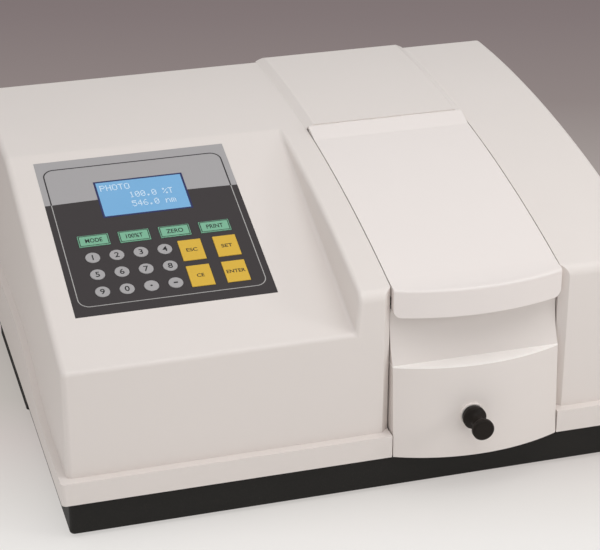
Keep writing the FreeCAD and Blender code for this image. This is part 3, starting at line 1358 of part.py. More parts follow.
def lamp_case():
    """Sheet-metal lamp house with a row of cooling slots in its top."""
    top = BENCH_TOP + LAMP_HEIGHT
    shell = box(LAMP_LEFT, LAMP_RIGHT, LAMP_FRONT, LAMP_BACK, BENCH_TOP, top)
    shell = shell.cut(box(LAMP_LEFT + LAMP_WALL, LAMP_RIGHT - LAMP_WALL, LAMP_FRONT + LAMP_WALL,
                          LAMP_BACK - LAMP_WALL, BENCH_TOP + LAMP_WALL, top - LAMP_WALL))
    shell = shell.cut(rod(V(SOURCE_X, LAMP_FRONT - 1, BEAM_Z), PORT_R, LAMP_WALL + 2, Y))
    first = (LAMP_WIDTH - (LAMP_SLOTS - 1) * LAMP_SLOT_PITCH - LAMP_SLOT) / 2
    for i in range(LAMP_SLOTS):
        x = LAMP_LEFT + first + i * LAMP_SLOT_PITCH
        shell = shell.cut(box(x, x + LAMP_SLOT, LAMP_FRONT + LAMP_SLOT_MARGIN, LAMP_BACK - LAMP_SLOT_MARGIN,
                              top - LAMP_WALL - 1, top + 1))
    return shell.cut(rod(V(SOURCE_X, LAMP_MIRROR_Y, BENCH_TOP - 1), LAMP_SHAFT_R + RUNNING, LAMP_WALL + 2, Z))


def deuterium_lamp():
    place = V(LAMP_RIGHT - DEUTERIUM_FROM_SIDE, LAMP_BACK - LAMP_FROM_BACK, BENCH_TOP + LAMP_WALL)
    base = rod(place, DEUTERIUM_R + DEUTERIUM_BASE_WIDER, DEUTERIUM_BASE, Z)
    foot = place + V(0, 0, DEUTERIUM_BASE - LAMP_SUNK)
    tube = rod(foot, DEUTERIUM_R, DEUTERIUM_HEIGHT, Z)
    crown = edges_where(tube, lambda p: p.z > foot.z + DEUTERIUM_HEIGHT - TOUCH)
    return base.fuse(tube.makeChamfer(DEUTERIUM_CROWN, crown))


def tungsten_lamp():
    place = V(LAMP_LEFT + TUNGSTEN_FROM_SIDE, LAMP_BACK - LAMP_FROM_BACK, BENCH_TOP + LAMP_WALL)
    width, depth, height = TUNGSTEN_BASE
    base = box(place.x - width / 2, place.x + width / 2, place.y - depth / 2, place.y + depth / 2,
               place.z, place.z + height)
    foot = place + V(0, 0, height - LAMP_SUNK)
    bulb = rod(foot, TUNGSTEN_R, TUNGSTEN_HEIGHT, Z)
    crown = edges_where(bulb, lambda p: p.z > foot.z + TUNGSTEN_HEIGHT - TOUCH)
    return base.fuse(bulb.makeChamfer(TUNGSTEN_CROWN, crown))


def lamp_mirror():
    """Swinging mirror that chooses the lamp."""
    z = BENCH_TOP + LAMP_WALL + TABLE_GAP
    arm = rod(V(SOURCE_X, LAMP_MIRROR_Y, z), LAMP_ARM_R, LAMP_ARM, Z)
    shaft = rod(V(SOURCE_X, LAMP_MIRROR_Y, BENCH_TOP), LAMP_SHAFT_R, LAMP_SHAFT, Z)
    plate = box(-LAMP_MIRROR_WIDTH / 2, LAMP_MIRROR_WIDTH / 2, -LAMP_MIRROR_THICK / 2, LAMP_MIRROR_THICK / 2,
                0, LAMP_MIRROR_HEIGHT)
    plate.rotate(V(0, 0, 0), Z, LAMP_MIRROR_TURN)
    plate.translate(V(SOURCE_X, LAMP_MIRROR_Y, z + LAMP_ARM - LAMP_SUNK))
    return arm.fuse(shaft).fuse(plate)


def detector():
    """Photodiode housing with a stepped mouth towards the chamber."""
    half = DETECTOR_SIDE / 2
    case = round_box(DETECTOR_X, DETECTOR_X + DETECTOR_SIDE, BEAM_Y - half, BEAM_Y + half,
                     BENCH_TOP, BENCH_TOP + DETECTOR_HEIGHT, DETECTOR_CORNER)
    case = case.cut(rod(V(DETECTOR_X - 1, BEAM_Y, BEAM_Z), DETECTOR_MOUTH_R, DETECTOR_MOUTH + 1, X))
    diode_x = DETECTOR_X + DETECTOR_MOUTH + DIODE_ROOT - DIODE_LENGTH
    return case.fuse(rod(V(diode_x, BEAM_Y, BEAM_Z), DIODE_R, DIODE_LENGTH, X))


# Electrics


def standoff_places():
    places = []
    for x in (BOARD_X + STANDOFF_INSET, BOARD_X + MAIN_BOARD_LENGTH - STANDOFF_INSET):
        for y in (BOARD_Y + STANDOFF_INSET, BOARD_Y + MAIN_BOARD_DEPTH - STANDOFF_INSET):
            places.append((x, y))
    return places


def main_board():
    """The control board with its larger components."""
    top = BOARD_Z + BOARD_THICK
    board = box(BOARD_X, BOARD_X + MAIN_BOARD_LENGTH, BOARD_Y, BOARD_Y + MAIN_BOARD_DEPTH, BOARD_Z, top)
    for cx, cy, width, depth, height in CHIPS:
        x = BOARD_X + cx
        y = BOARD_Y + cy
        board = board.fuse(box(x - width / 2, x + width / 2, y - depth / 2, y + depth / 2,
                               top - SOLDER, top + height))
    for i in range(CAPACITORS):
        place = V(BOARD_X + CAPACITOR_X + i * CAPACITOR_PITCH, BOARD_Y + CAPACITOR_Y, top - SOLDER)
        board = board.fuse(rod(place, CAPACITOR_R, CAPACITOR_HEIGHT, Z))
    return board.removeSplitter()


def power_supply():
    """Cased supply with two rows of cooling slots in its lid."""
    x0 = BOARD_X
    y0 = LAMP_FRONT + SUPPLY_FRONT_GAP
    top = FLOOR_Z + SUPPLY_HEIGHT
    case = box(x0, x0 + SUPPLY_LENGTH, y0, y0 + SUPPLY_DEPTH, FLOOR_Z, top)
    case = case.cut(box(x0 + SUPPLY_WALL, x0 + SUPPLY_LENGTH - SUPPLY_WALL, y0 + SUPPLY_WALL,
                        y0 + SUPPLY_DEPTH - SUPPLY_WALL, FLOOR_Z + SUPPLY_FLOOR, top - SUPPLY_WALL))
    first_x = (SUPPLY_LENGTH - (SUPPLY_SLOTS - 1) * SUPPLY_SLOT_PITCH - SUPPLY_SLOT) / 2
    first_y = (SUPPLY_DEPTH - SUPPLY_ROW_PITCH - SUPPLY_SLOT_LENGTH) / 2
    for i in range(SUPPLY_SLOTS):
        x = x0 + first_x + i * SUPPLY_SLOT_PITCH
        for y in (y0 + first_y, y0 + first_y + SUPPLY_ROW_PITCH):
            case = case.cut(box(x, x + SUPPLY_SLOT, y, y + SUPPLY_SLOT_LENGTH, top - SUPPLY_WALL - 1, top + 1))
    return case


def fan_frame():
    half = FAN_SIDE / 2
    centre = V(FAN_X, FAN_Y, FAN_Z)
    frame = box(FAN_X - half, FAN_X + half, FAN_Y, PANEL_IN_Y, FAN_Z - half, FAN_Z + half)
    frame = frame.cut(rod(centre - V(0, 1, 0), FAN_BORE_R, FAN_DEPTH + 2, Y))
    hub = rod(centre, FAN_HUB_R, FAN_SPOKE, Y)
    for turn in (0, 120, 240):
        spoke = box(0, FAN_BORE_R + 1, 0, FAN_SPOKE, -FAN_SPOKE / 2, FAN_SPOKE / 2)
        spoke.rotate(V(0, 0, 0), Y, turn)
        spoke.translate(centre)
        hub = hub.fuse(spoke)
    hub = hub.fuse(rod(centre, FAN_PIN_R, FAN_DEPTH - FAN_PIN_END, Y))
    return frame.fuse(hub).removeSplitter()


def fan_rotor():
    """Hub and pitched blades that turn on the frame's pin."""
    start = FAN_Y + FAN_SPOKE + FAN_ROTOR_GAP
    length = FAN_DEPTH - FAN_ROTOR_END
    rotor = rod(V(FAN_X, start, FAN_Z), FAN_HUB_R, length, Y)
    tip = FAN_BORE_R - FAN_TIP_GAP
    half = FAN_BLADE_CHORD / 2
    for i in range(FAN_BLADES):
        blade = box(FAN_HUB_R - FAN_BLADE_ROOT, FAN_BORE_R, -FAN_BLADE_THICK / 2, FAN_BLADE_THICK / 2, -half, half)
        blade.rotate(V(0, 0, 0), X, FAN_BLADE_PITCH)
        blade.rotate(V(0, 0, 0), Y, 360 / FAN_BLADES * i)
        blade.translate(V(FAN_X, start + length / 2, FAN_Z))
        rotor = rotor.fuse(blade)
    rotor = rotor.common(rod(V(FAN_X, start, FAN_Z), tip, length, Y))
    return rotor.cut(rod(V(FAN_X, FAN_Y, FAN_Z), FAN_PIN_R + RUNNING, FAN_DEPTH - FAN_PIN_END + RUNNING, Y))


def power_inlet():
    """Mains inlet with its fuse drawer and the rocker's frame in one moulded body."""
    half = INLET_WIDTH / 2
    z0 = INLET_Z - INLET_HEIGHT / 2
    z1 = INLET_Z + INLET_HEIGHT / 2
    face = REAR_Y + INLET_FLANGE
    edge = INLET_BODY_EDGE
    flange = round_box(INLET_X - half, INLET_X + half, REAR_Y, face, z0, z1, INLET_CORNER)
    body = box(INLET_X - half + edge, INLET_X + half - edge, REAR_Y - INLET_BODY, REAR_Y + INLET_BODY_ROOT,
               z0 + edge, z1 - edge)
    solid = flange.fuse(body)
    mouth = z0 + SOCKET_LOW
    solid = solid.cut(box(INLET_X - SOCKET_WIDTH / 2, INLET_X + SOCKET_WIDTH / 2, REAR_Y - SOCKET_DEPTH,
                          face + 1, mouth, mouth + SOCKET_HEIGHT))
    for dx, dz in PIN_PLACES:
        x = INLET_X + dx
        z = mouth + SOCKET_HEIGHT / 2 + dz
        solid = solid.fuse(box(x - PIN_WIDTH / 2, x + PIN_WIDTH / 2, REAR_Y - SOCKET_DEPTH - 1,
                               REAR_Y - PIN_SHORT, z - PIN_THICK / 2, z + PIN_THICK / 2))
    low = z0 + DRAWER_LOW
    solid = solid.cut(box(INLET_X - DRAWER_WIDTH / 2, INLET_X + DRAWER_WIDTH / 2, face - DRAWER_DEPTH,
                          face + 1, low, low + DRAWER_HEIGHT))
    side = ROCKER_WIDTH / 2 + ROCKER_SIDE_GAP
    tall = ROCKER_LENGTH / 2 + ROCKER_END_GAP
    solid = solid.cut(box(INLET_X - side, INLET_X + side, REAR_Y - ROCKER_SEAT, face + 1,
                          ROCKER_Z - tall, ROCKER_Z + tall))
    pin = rod(V(INLET_X - side - 1, ROCKER_Y, ROCKER_Z), ROCKER_PIN_R, 2 * side + 2, X)
    return solid.fuse(pin).removeSplitter()


def rocker():
    """The on-off rocker with its dished face, tilted to its off side at rest."""
    half = ROCKER_LENGTH / 2
    x = INLET_X - ROCKER_WIDTH / 2
    back = ROCKER_Y - ROCKER_BACK
    face = ROCKER_Y + ROCKER_OUT
    points = [
        V(x, back, ROCKER_Z - half * ROCKER_TAPER), V(x, face, ROCKER_Z - half),
        V(x, face - ROCKER_DISH, ROCKER_Z), V(x, face, ROCKER_Z + half),
        V(x, back, ROCKER_Z + half * ROCKER_TAPER),
    ]
    cap = prism(points, V(ROCKER_WIDTH, 0, 0))
    cap = cap.cut(rod(V(x - 1, ROCKER_Y, ROCKER_Z), ROCKER_PIN_R + RUNNING, ROCKER_WIDTH + 2, X))
    cap.rotate(V(0, ROCKER_Y, ROCKER_Z), X, ROCKER_TILT)
    return cap


def data_ports():
    """Two nine-way sockets on the rear panel, each a slanted shell on a plate with two nuts."""
    solids = []
    half = PORT_WIDTH / 2
    tall = PORT_HEIGHT / 2
    w = half - PORT_SHELL_SIDE
    h = tall - PORT_SHELL_EDGE
    y0 = REAR_Y - PORT_SHELL_IN
    for z in PORT_ROWS:
        plate = box(PORT_X - half, PORT_X + half, REAR_Y, REAR_Y + PORT_PLATE, z - tall, z + tall)
        points = [V(PORT_X - w, y0, z + h), V(PORT_X + w, y0, z + h)]
        points += [V(PORT_X + w - PORT_SHELL_SLANT, y0, z - h), V(PORT_X - w + PORT_SHELL_SLANT, y0, z - h)]
        solid = plate.fuse(prism(points, V(0, PORT_SHELL_IN + PORT_SHELL_OUT, 0)))
        for side in (-1, 1):
            solid = solid.fuse(rod(V(PORT_X + side * (half - PORT_NUT_IN), REAR_Y, z), PORT_NUT_R, PORT_NUT, Y))
        solids.append(solid)
    return group(solids)


PIECES = (
    top_cover, front_panel, lid, hinge_pin, base_tray, feet, case_screws, keypad_overlay, lcd_window,
    lcd_module, keypad_board, sample_chamber, port_lenses, chamber_gasket, cell_holder, cuvettes,
    cuvette_stoppers, pull_rod, pull_knob, rod_bush, optical_bench, monochromator_case, grating_table,
    grating, grating_motor, mirrors, slit_plates, filter_wheel, lamp_case, deuterium_lamp, tungsten_lamp,
    lamp_mirror, detector, main_board, power_supply, fan_frame, fan_rotor, power_inlet, rocker, data_ports,
)

for piece in PIECES:
    save(piece.__name__, piece())
for key_name, key_kind, key_x, key_y in KEYS:
    save(key_name, key_cap(key_kind, key_x, key_y))
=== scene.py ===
import math

import bmesh
import bpy
import numpy as np
from mathutils import Matrix, Vector


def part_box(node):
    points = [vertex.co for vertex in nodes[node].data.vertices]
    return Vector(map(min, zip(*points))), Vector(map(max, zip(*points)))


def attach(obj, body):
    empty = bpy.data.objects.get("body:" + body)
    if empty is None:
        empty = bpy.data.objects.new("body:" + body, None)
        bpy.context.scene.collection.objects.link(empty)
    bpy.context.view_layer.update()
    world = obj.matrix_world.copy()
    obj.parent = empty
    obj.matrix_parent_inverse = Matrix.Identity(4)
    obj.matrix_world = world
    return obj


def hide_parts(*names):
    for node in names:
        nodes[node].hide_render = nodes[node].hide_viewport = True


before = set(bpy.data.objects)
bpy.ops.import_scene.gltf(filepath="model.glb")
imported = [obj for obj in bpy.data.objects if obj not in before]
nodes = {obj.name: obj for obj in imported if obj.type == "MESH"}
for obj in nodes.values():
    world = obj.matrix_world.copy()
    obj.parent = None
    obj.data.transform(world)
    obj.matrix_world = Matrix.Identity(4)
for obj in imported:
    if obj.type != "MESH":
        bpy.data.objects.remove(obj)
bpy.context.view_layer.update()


# Studio
# A large pale sheet under and behind the instrument, darker with distance, a wide soft box
# above its front edge, a weaker one at the left, a small one low at the right, and a pale sky.

class Signal:
    """One value of a finish's node tree, which plain arithmetic can combine."""

    def __init__(self, finish, socket):
        self.finish = finish
        self.socket = socket

    def reckon(self, operation, other, flipped=False):
        pair = (other, self) if flipped else (self, other)
        return self.finish.add("ShaderNodeMath", {"operation": operation}, *pair)

    def __add__(self, other):
        return self.reckon("ADD", other)

    def __sub__(self, other):
        return self.reckon("SUBTRACT", other)

    def __rsub__(self, other):
        return self.reckon("SUBTRACT", other, True)

    def __mul__(self, other):
        return self.reckon("MULTIPLY", other)

    def __truediv__(self, other):
        return self.reckon("DIVIDE", other)

    def __lt__(self, other):
        return self.reckon("LESS_THAN", other)

    def __gt__(self, other):
        return self.reckon("GREATER_THAN", other)

    def __abs__(self):
        return self.finish.add("ShaderNodeMath", {"operation": "ABSOLUTE"}, self)

    def most(self, other):
        return self.reckon("MAXIMUM", other)

    def least(self, other):
        return self.reckon("MINIMUM", other)

    def power(self, other):
        return self.reckon("POWER", other)


def shaded(colour, share):
    """A colour with its brightness multiplied."""
    return (*[part * share for part in colour[:3]], 1.0)


def linear(red, green, blue):
    """A colour as read on a screen, 0 to 255, as the shader wants it."""
    parts = []
    for part in (red, green, blue):
        part = part / 255
        parts.append(part / 12.92 if part <= 0.04045 else ((part + 0.055) / 1.055) ** 2.4)
    return (*parts, 1.0)


class Finish:
    """A procedural material, with one method that adds any node to it."""

    def __init__(self, name, constants):
        self.material = bpy.data.materials.new(name)
        self.material.use_nodes = True
        self.tree = self.material.node_tree
        self.shader = self.tree.nodes["Principled BSDF"]
        for socket, value in constants.items():
            self.shader.inputs[socket].default_value = value

    def add(self, kind, settings, *inputs, output=0, **named):
        node = self.tree.nodes.new(kind)
        for name, value in settings.items():
            if name == "stops":
                elements = node.color_ramp.elements
                while len(elements) < len(value):
                    elements.new(0.5)
                for element, (position, colour) in zip(elements, value):
                    element.position = position
                    element.color = colour
            else:
                setattr(node, name, value)
        for place, value in [*enumerate(inputs), *named.items()]:
            self.feed(node.inputs[place], value)
        return Signal(self, node.outputs[output])

    def feed(self, socket, value):
        if isinstance(value, Signal):
            self.tree.links.new(value.socket, socket)
        else:
            socket.default_value = value

    def drive(self, socket, value):
        self.feed(self.shader.inputs[socket], value)

    def place(self):
        """The object coordinates as a vector."""
        object_socket = 3
        return self.add("ShaderNodeTexCoord", {}, output=object_socket)

    def axes(self):
        """The object coordinates as three numbers."""
        split = self.tree.nodes.new("ShaderNodeSeparateXYZ")
        self.feed(split.inputs[0], self.place())
        return [Signal(self, socket) for socket in split.outputs]

    def mix(self, mask, first, second):
        """The first colour where the mask is 0 and the second where it is 1."""
        node = self.tree.nodes.new("ShaderNodeMix")
        node.data_type = "RGBA"
        # the colour sockets, which share their names with those for numbers and vectors
        factor, colour_a, colour_b, mixed = 0, 6, 7, 2
        self.feed(node.inputs[factor], mask)
        self.feed(node.inputs[colour_a], first)
        self.feed(node.inputs[colour_b], second)
        return Signal(self, node.outputs[mixed])

    def noise(self, scale, detail=3.0, vector=None):
        where = vector if vector is not None else self.place()
        return self.add("ShaderNodeTexNoise", {}, Vector=where, Scale=scale, Detail=detail)

    def bump(self, height, distance):
        self.drive("Normal", self.add("ShaderNodeBump", {}, Strength=1.0, Distance=distance, Height=height))


def floor_sheet():
    """The sheet: its own colour glows a little wherever it is seen, so that shadows stay light."""
    mesh = bpy.data.meshes.new("floor")
    reach = 30.0
    corners = [(-reach, -reach, 0), (reach, -reach, 0), (reach, reach, 0), (-reach, reach, 0)]
    mesh.from_pydata(corners, [], [(0, 1, 2, 3)])
    sheet = bpy.data.objects.new("floor", mesh)
    bpy.context.scene.collection.objects.link(sheet)
    finish = Finish("floor_paper", {"Roughness": 0.9, "Specular IOR Level": 0.1})
    x, y, z = finish.axes()
    # the colour darkens along one line over the floor, from its near end to its far end: a painted fall-off
    # of light
    line_x, line_y = 0.278, 0.961
    near_end, whole = 0.4, 1.4
    away = (x * line_x + y * line_y + near_end) / whole
    painted_falloff_tones = ((0.0, (248, 246, 244)), (0.122, (240, 237, 234)), (0.161, (232, 228, 224)),
             (0.224, (220, 212, 208)), (0.271, (207, 201, 195)), (0.75, (150, 139, 137)),
             (0.95, (138, 126, 126)), (1.0, (136, 124, 124)))
    stops = [(position, linear(*tone)) for position, tone in painted_falloff_tones]
    tint = finish.add("ShaderNodeValToRGB", {"stops": stops}, away)
    finish.drive("Base Color", tint)
    rays = finish.tree.nodes.new("ShaderNodeLightPath").outputs
    camera_ray, glossy_ray, glass_ray = [
        Signal(finish, rays[name]) for name in ("Is Camera Ray", "Is Glossy Ray", "Is Transmission Ray")]
    glow_share = 0.62
    glow = finish.tree.nodes.new("ShaderNodeEmission")
    finish.feed(glow.inputs["Color"], tint)
    blend = finish.tree.nodes.new("ShaderNodeMixShader")
    finish.feed(blend.inputs[0], camera_ray.most(glossy_ray).most(glass_ray) * glow_share)
    finish.tree.links.new(finish.shader.outputs[0], blend.inputs[1])
    finish.tree.links.new(glow.outputs[0], blend.inputs[2])
    finish.tree.links.new(blend.outputs[0], finish.tree.nodes["Material Output"].inputs["Surface"])
    mesh.materials.append(finish.material)


floor_sheet()


def lamp(name, place, target, size, power):
    """A rectangular soft box at a place, turned to its target, with its power in watts."""
    data = bpy.data.lights.new(name, "AREA")
    data.shape = "RECTANGLE"
    data.size, data.size_y = size
    data.energy = power
    holder = bpy.data.objects.new(name, data)
    aim = (Vector(target) - Vector(place)).to_track_quat("-Z", "Y")
    holder.matrix_world = Matrix.LocRotScale(Vector(place), aim, Vector((1, 1, 1)))
    bpy.context.scene.collection.objects.link(holder)


lamp("soft_box", (0.2, -0.45, 1.05), (0.05, 0, 0.1), (1.2, 0.7), 4.4)
lamp("left_box", (-1.0, -0.15, 0.95), (0, 0, 0.1), (0.8, 0.8), 1.2)
lamp("right_box", (1.2, -0.9, 0.6), (0.1, 0, 0.1), (0.3, 0.3), 2.9)

world = bpy.data.worlds.new("studio")
world.use_nodes = True
sky = world.node_tree.nodes["Background"]
sky.inputs["Color"].default_value = (1.0, 1.0, 1.0, 1.0)
sky.inputs["Strength"].default_value = 0.56
bpy.context.scene.world = world
bpy.context.scene.view_settings.view_transform = "Standard"

# the camera's place in metres, and how it is turned, tilted down and rolled, in radians
camera_place = Vector((-0.4157, -1.4245, 0.8471))
turn, tilt, roll = 0.282, 0.464, -0.002
forward = Vector((math.sin(turn) * math.cos(tilt), math.cos(turn) * math.cos(tilt), -math.sin(tilt)))
level = Vector((math.cos(turn), -math.sin(turn), 0))
upward = level.cross(forward)
right = level * math.cos(roll) - upward * math.sin(roll)
upward = right.cross(forward)
lens = bpy.data.cameras.new("view")
lens.sensor_width = 36.0
lens.lens = 121.57
camera = bpy.data.objects.new("view", lens)
facing = Matrix((right, upward, -forward)).transposed().to_4x4()
camera.matrix_world = Matrix.Translation(camera_place) @ facing
bpy.context.scene.collection.objects.link(camera)
bpy.context.scene.camera = camera


# Top cover and front panel
# Thick-walled injection mouldings in warm white, semi-gloss, with the faint orange-peel of a
# textured mould and a very slight unevenness in colour.

def moulded(name, colour, roughness, grain=0.00004, shade=0.03):
    """Moulded plastic or rubber: grain is its texture's height, shade how far its tone wanders."""
    finish = Finish(name, {"IOR": 1.48})
    wide = finish.noise(9.0, 4.0)
    fine = finish.noise(2600.0, 2.0)
    finish.tint = finish.mix(wide, shaded(colour, 1 - shade), colour)
    finish.drive("Base Color", finish.tint)
    finish.drive("Roughness", fine * 0.08 + wide * 0.05 + (roughness - 0.065))
    finish.bump(fine, grain)
    return finish


def dress(finish, *names):
    """Give a finish to nodes of the frame."""
    for name in names:
        data = nodes[name].data
        data.materials.clear()
        data.materials.append(finish.material)
        for face in data.polygons:
            face.material_index = 0


case_colour = linear(230, 222, 217)
case_white = moulded("case_white", case_colour, 0.42)
dress(case_white, "top_cover")

# the ledge across the front panel is painted lighter: a painted highlight that stands in for the light
# falling on its upward face
panel_white = moulded("panel_white", case_colour, 0.42)
ledge_height, ledge_reach = 0.1072, 0.0006
panel_level = panel_white.axes()[2]
painted_highlight_on_ledge = abs(panel_level - ledge_height) < ledge_reach
# painted highlight: the narrow band of the ledge gets a paler colour than the panel around it
panel_white.drive("Base Color", panel_white.mix(painted_highlight_on_ledge, panel_white.tint, linear(252, 247, 243)))
dress(panel_white, "front_panel")


# Lid
# The same moulding as the case, a shade brighter and smoother where hands polish it.

lid_white = moulded("lid_white", linear(237, 229, 225), 0.36)
dress(lid_white, "lid")


# Base tray, feet and case screws
# Folded steel pan with a fine black powder coat; dense rubber feet; zinc-plated screws.

def powder_coat(name, colour, roughness):
    """Dark coated metal: fine raised grains under a thin, uneven film of dust."""
    finish = Finish(name, {"IOR": 1.5, "Specular IOR Level": 0.3})
    grains = finish.noise(1500.0, 3.0)
    dust = finish.noise(14.0, 5.0)
    lighter = tuple(min(1.0, part * 1.5 + 0.004) for part in colour[:3]) + (1.0,)
    finish.drive("Base Color", finish.mix(dust, colour, lighter))
    finish.drive("Roughness", grains * 0.15 + (roughness - 0.07))
    finish.bump(grains, 0.00012)
    return finish


def turned_metal(name, colour, roughness, scratch=900.0):
    """Machined or rolled metal, with fine lines drawn out along its depth."""
    finish = Finish(name, {"Metallic": 1.0})
    stretched = finish.add("ShaderNodeMapping", {}, Vector=finish.place(), Scale=(1.0, 0.04, 1.0))
    lines = finish.noise(scratch, 2.0, stretched)
    finish.drive("Base Color", finish.mix(lines, shaded(colour, 0.86), colour))
    finish.drive("Roughness", lines * 0.18 + (roughness - 0.09))
    finish.bump(lines, 0.00002)
    return finish


pan_black = powder_coat("pan_black", linear(19, 17, 14), 0.6)
dress(pan_black, "base_tray")
foot_rubber = moulded("foot_rubber", linear(38, 37, 36), 0.85, 0.00008, 0.2)
dress(foot_rubber, "feet")
bright_steel = turned_metal("bright_steel", linear(200, 200, 202), 0.28)
dress(bright_steel, "case_screws", "hinge_pin", "pull_rod")


# Keypad overlay
# One printed polyester sheet set flush in the cover: silver-grey at the top, charcoal below,
# with a thin ruled line a little inside its edge. Places are in metres along the width and
# up the slope from its front edge.

slope = math.radians(16.9)
sheet_width = 0.154
sheet_length = 0.178
sheet_up = Vector((0, math.cos(slope), math.sin(slope)))
sheet_out = Vector((0, -math.sin(slope), math.cos(slope)))
sheet_thick = 0.0008


def back_corner(node):
    """The upper left corner of a sheet's printed face."""
    low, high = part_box(node)
    return Vector((low.x, high.y - sheet_thick * math.sin(slope), high.z))


sheet_corner = back_corner("keypad_overlay") - sheet_up * sheet_length


def ring(across, along, half_across, half_along, corner, width):
    """Mask of a line round a rectangle with rounded corners, measured from its middle."""
    beyond_x = abs(across) - (half_across - corner)
    beyond_y = abs(along) - (half_along - corner)
    outside = (beyond_x.most(0.0).power(2.0) + beyond_y.most(0.0).power(2.0)).power(0.5)
    gap = outside + beyond_x.most(beyond_y).least(0.0) - corner
    return abs(gap) < width / 2


def sheet_axes(finish):
    """Across and up the sheet from its lower left corner."""
    x, y, z = finish.axes()
    across = x - sheet_corner.x
    up = (y - sheet_corner.y) * sheet_up.y + (z - sheet_corner.z) * sheet_up.z
    return across, up


def printed_sheet():
    finish = Finish("keypad_print", {"IOR": 1.5, "Specular IOR Level": 0.3})
    across, up = sheet_axes(finish)
    grain = finish.noise(3200.0, 2.0)
    from_middle = across - sheet_width / 2
    silver = finish.mix(grain, linear(164, 161, 162), linear(174, 171, 172))
    charcoal = finish.mix(grain, linear(55, 50, 51), linear(62, 57, 58))
    # the silver part ends in a shallow arc
    silver_foot, arc = 0.1275, 0.2
    upper = up + from_middle * from_middle * arc > silver_foot
    colour = finish.mix(upper, charcoal, silver)
    rectangle = (from_middle, up - sheet_length / 2, 0.0718, 0.0790, 0.0085)
    thin = ring(*rectangle, 0.0007)
    thick = ring(*rectangle, 0.0011)
    line = thick * upper + thin * (1 - upper)
    ruled = finish.mix(upper, linear(172, 170, 168), linear(48, 44, 46))
    colour = finish.mix(line, colour, ruled)
    finish.drive("Base Color", colour)
    finish.drive("Roughness", grain * 0.1 + 0.42)
    finish.bump(grain, 0.00001)
    return finish


dress(printed_sheet(), "keypad_overlay")


# Display
# Backlit liquid-crystal panel behind the overlay: blue ground with a navy edge and rows of
# pale dots that spell a reading.

display_width, display_height = 0.0715, 0.043


def display_ground():
    finish = Finish("display_ground", {"Roughness": 0.18, "IOR": 1.5, "Emission Strength": 0.22})
    low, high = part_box("lcd_window")
    across, up = sheet_axes(finish)
    centre = (low + high) / 2 - sheet_corner
    centre_up = centre.y * sheet_up.y + centre.z * sheet_up.z
    border = 0.0016
    beside = abs(across - centre.x) > display_width / 2 - border
    above = abs(up - centre_up) > display_height / 2 - border
    glow = finish.noise(18.0, 1.0)
    blue = finish.mix(glow, linear(104, 158, 200), linear(116, 166, 206))
    colour = finish.mix(beside.most(above), blue, linear(34, 40, 84))
    finish.drive("Base Color", colour)
    finish.drive("Emission Color", colour)
    return finish


dress(display_ground(), "lcd_window")

# each letter's seven rows, from the top, with a bit for each of its five dots
DOTS = {
    "0": (14, 17, 19, 21, 25, 17, 14), "1": (4, 12, 4, 4, 4, 4, 14), "4": (2, 6, 10, 18, 31, 2, 2),
    "5": (31, 16, 30, 1, 1, 17, 14), "6": (6, 8, 16, 30, 17, 17, 14), ".": (0, 0, 0, 0, 0, 12, 12),
    "%": (24, 25, 2, 4, 8, 19, 3), "T": (31, 4, 4, 4, 4, 4, 4), "n": (0, 0, 22, 25, 17, 17, 17),
    "m": (0, 0, 26, 21, 21, 21, 21), " ": (0, 0, 0, 0, 0, 0, 0), "P": (30, 17, 17, 30, 16, 16, 16),
    "H": (17, 17, 17, 31, 17, 17, 17), "O": (14, 17, 17, 17, 17, 17, 14),
}


def sheet_matrix(point):
    """Axes of the sheet at a point on it: across, up the slope, out of it."""
    columns = (Vector((1, 0, 0)), sheet_up, sheet_out)
    return Matrix.Translation(point) @ Matrix(columns).transposed().to_4x4()


def new_piece(name, mesh, finish, body):
    """An added piece that moves with one body."""
    piece = bpy.data.objects.new(name, mesh)
    bpy.context.scene.collection.objects.link(piece)
    mesh.materials.clear()
    mesh.materials.append(finish.material)
    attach(piece, body)
    return piece


def closed_mesh(name, shape, rounded=False):
    """The mesh made of a bmesh, with smooth outward faces where it is rounded."""
    if rounded:
        for face in shape.faces:
            face.smooth = True
        bmesh.ops.recalc_face_normals(shape, faces=shape.faces)
    mesh = bpy.data.meshes.new(name)
    shape.to_mesh(mesh)
    shape.free()
    return mesh


def dot_rows():
    """The lit dots as small raised squares on the display."""
    # a line's left end and foot as shares of the display, the width of its dots, its words
    lines = ((0.06, 0.80, 1.1, "PHOTO"), (0.36, 0.55, 1.0, "100.0 %T"), (0.36, 0.30, 1.0, "546.0 nm"))
    pitch_x, pitch_y = 0.00074, 0.00098
    half_x, half_y = 0.00034, 0.00044
    drop, proud = 0.003, 0.00006
    shape = bmesh.new()
    for left, foot, weight, words in lines:
        spots = [(place * 6 + column, row) for place, letter in enumerate(words)
                 for row, bits in enumerate(DOTS[letter])
                 for column in range(5) if bits >> (4 - column) & 1]
        for column, row in spots:
            x = display_width * left + column * pitch_x * weight
            y = display_height * foot + (6 - row) * pitch_y - drop
            reach = half_x * weight
            corners = [(x - reach, y - half_y), (x + reach, y - half_y),
                       (x + reach, y + half_y), (x - reach, y + half_y)]
            shape.faces.new([shape.verts.new((*corner, proud)) for corner in corners])
    mesh = closed_mesh("display_dots", shape)
    mesh.transform(sheet_matrix(back_corner("lcd_window") - sheet_up * display_height))
    return mesh


dot_light = Finish("dot_light", {"Roughness": 0.4, "Emission Strength": 0.15})
dot_tint = dot_light.mix(dot_light.noise(900.0), linear(196, 216, 232), linear(208, 226, 238))
dot_light.drive("Base Color", dot_tint)
dot_light.drive("Emission Color", dot_tint)
new_piece("display_dots", dot_rows(), dot_light, "housing")


# Keys
# Domed polyester caps: silver discs with dark numerals, four green function keys and four
# yellow ones. Each legend is printed on its own cap and moves with it.

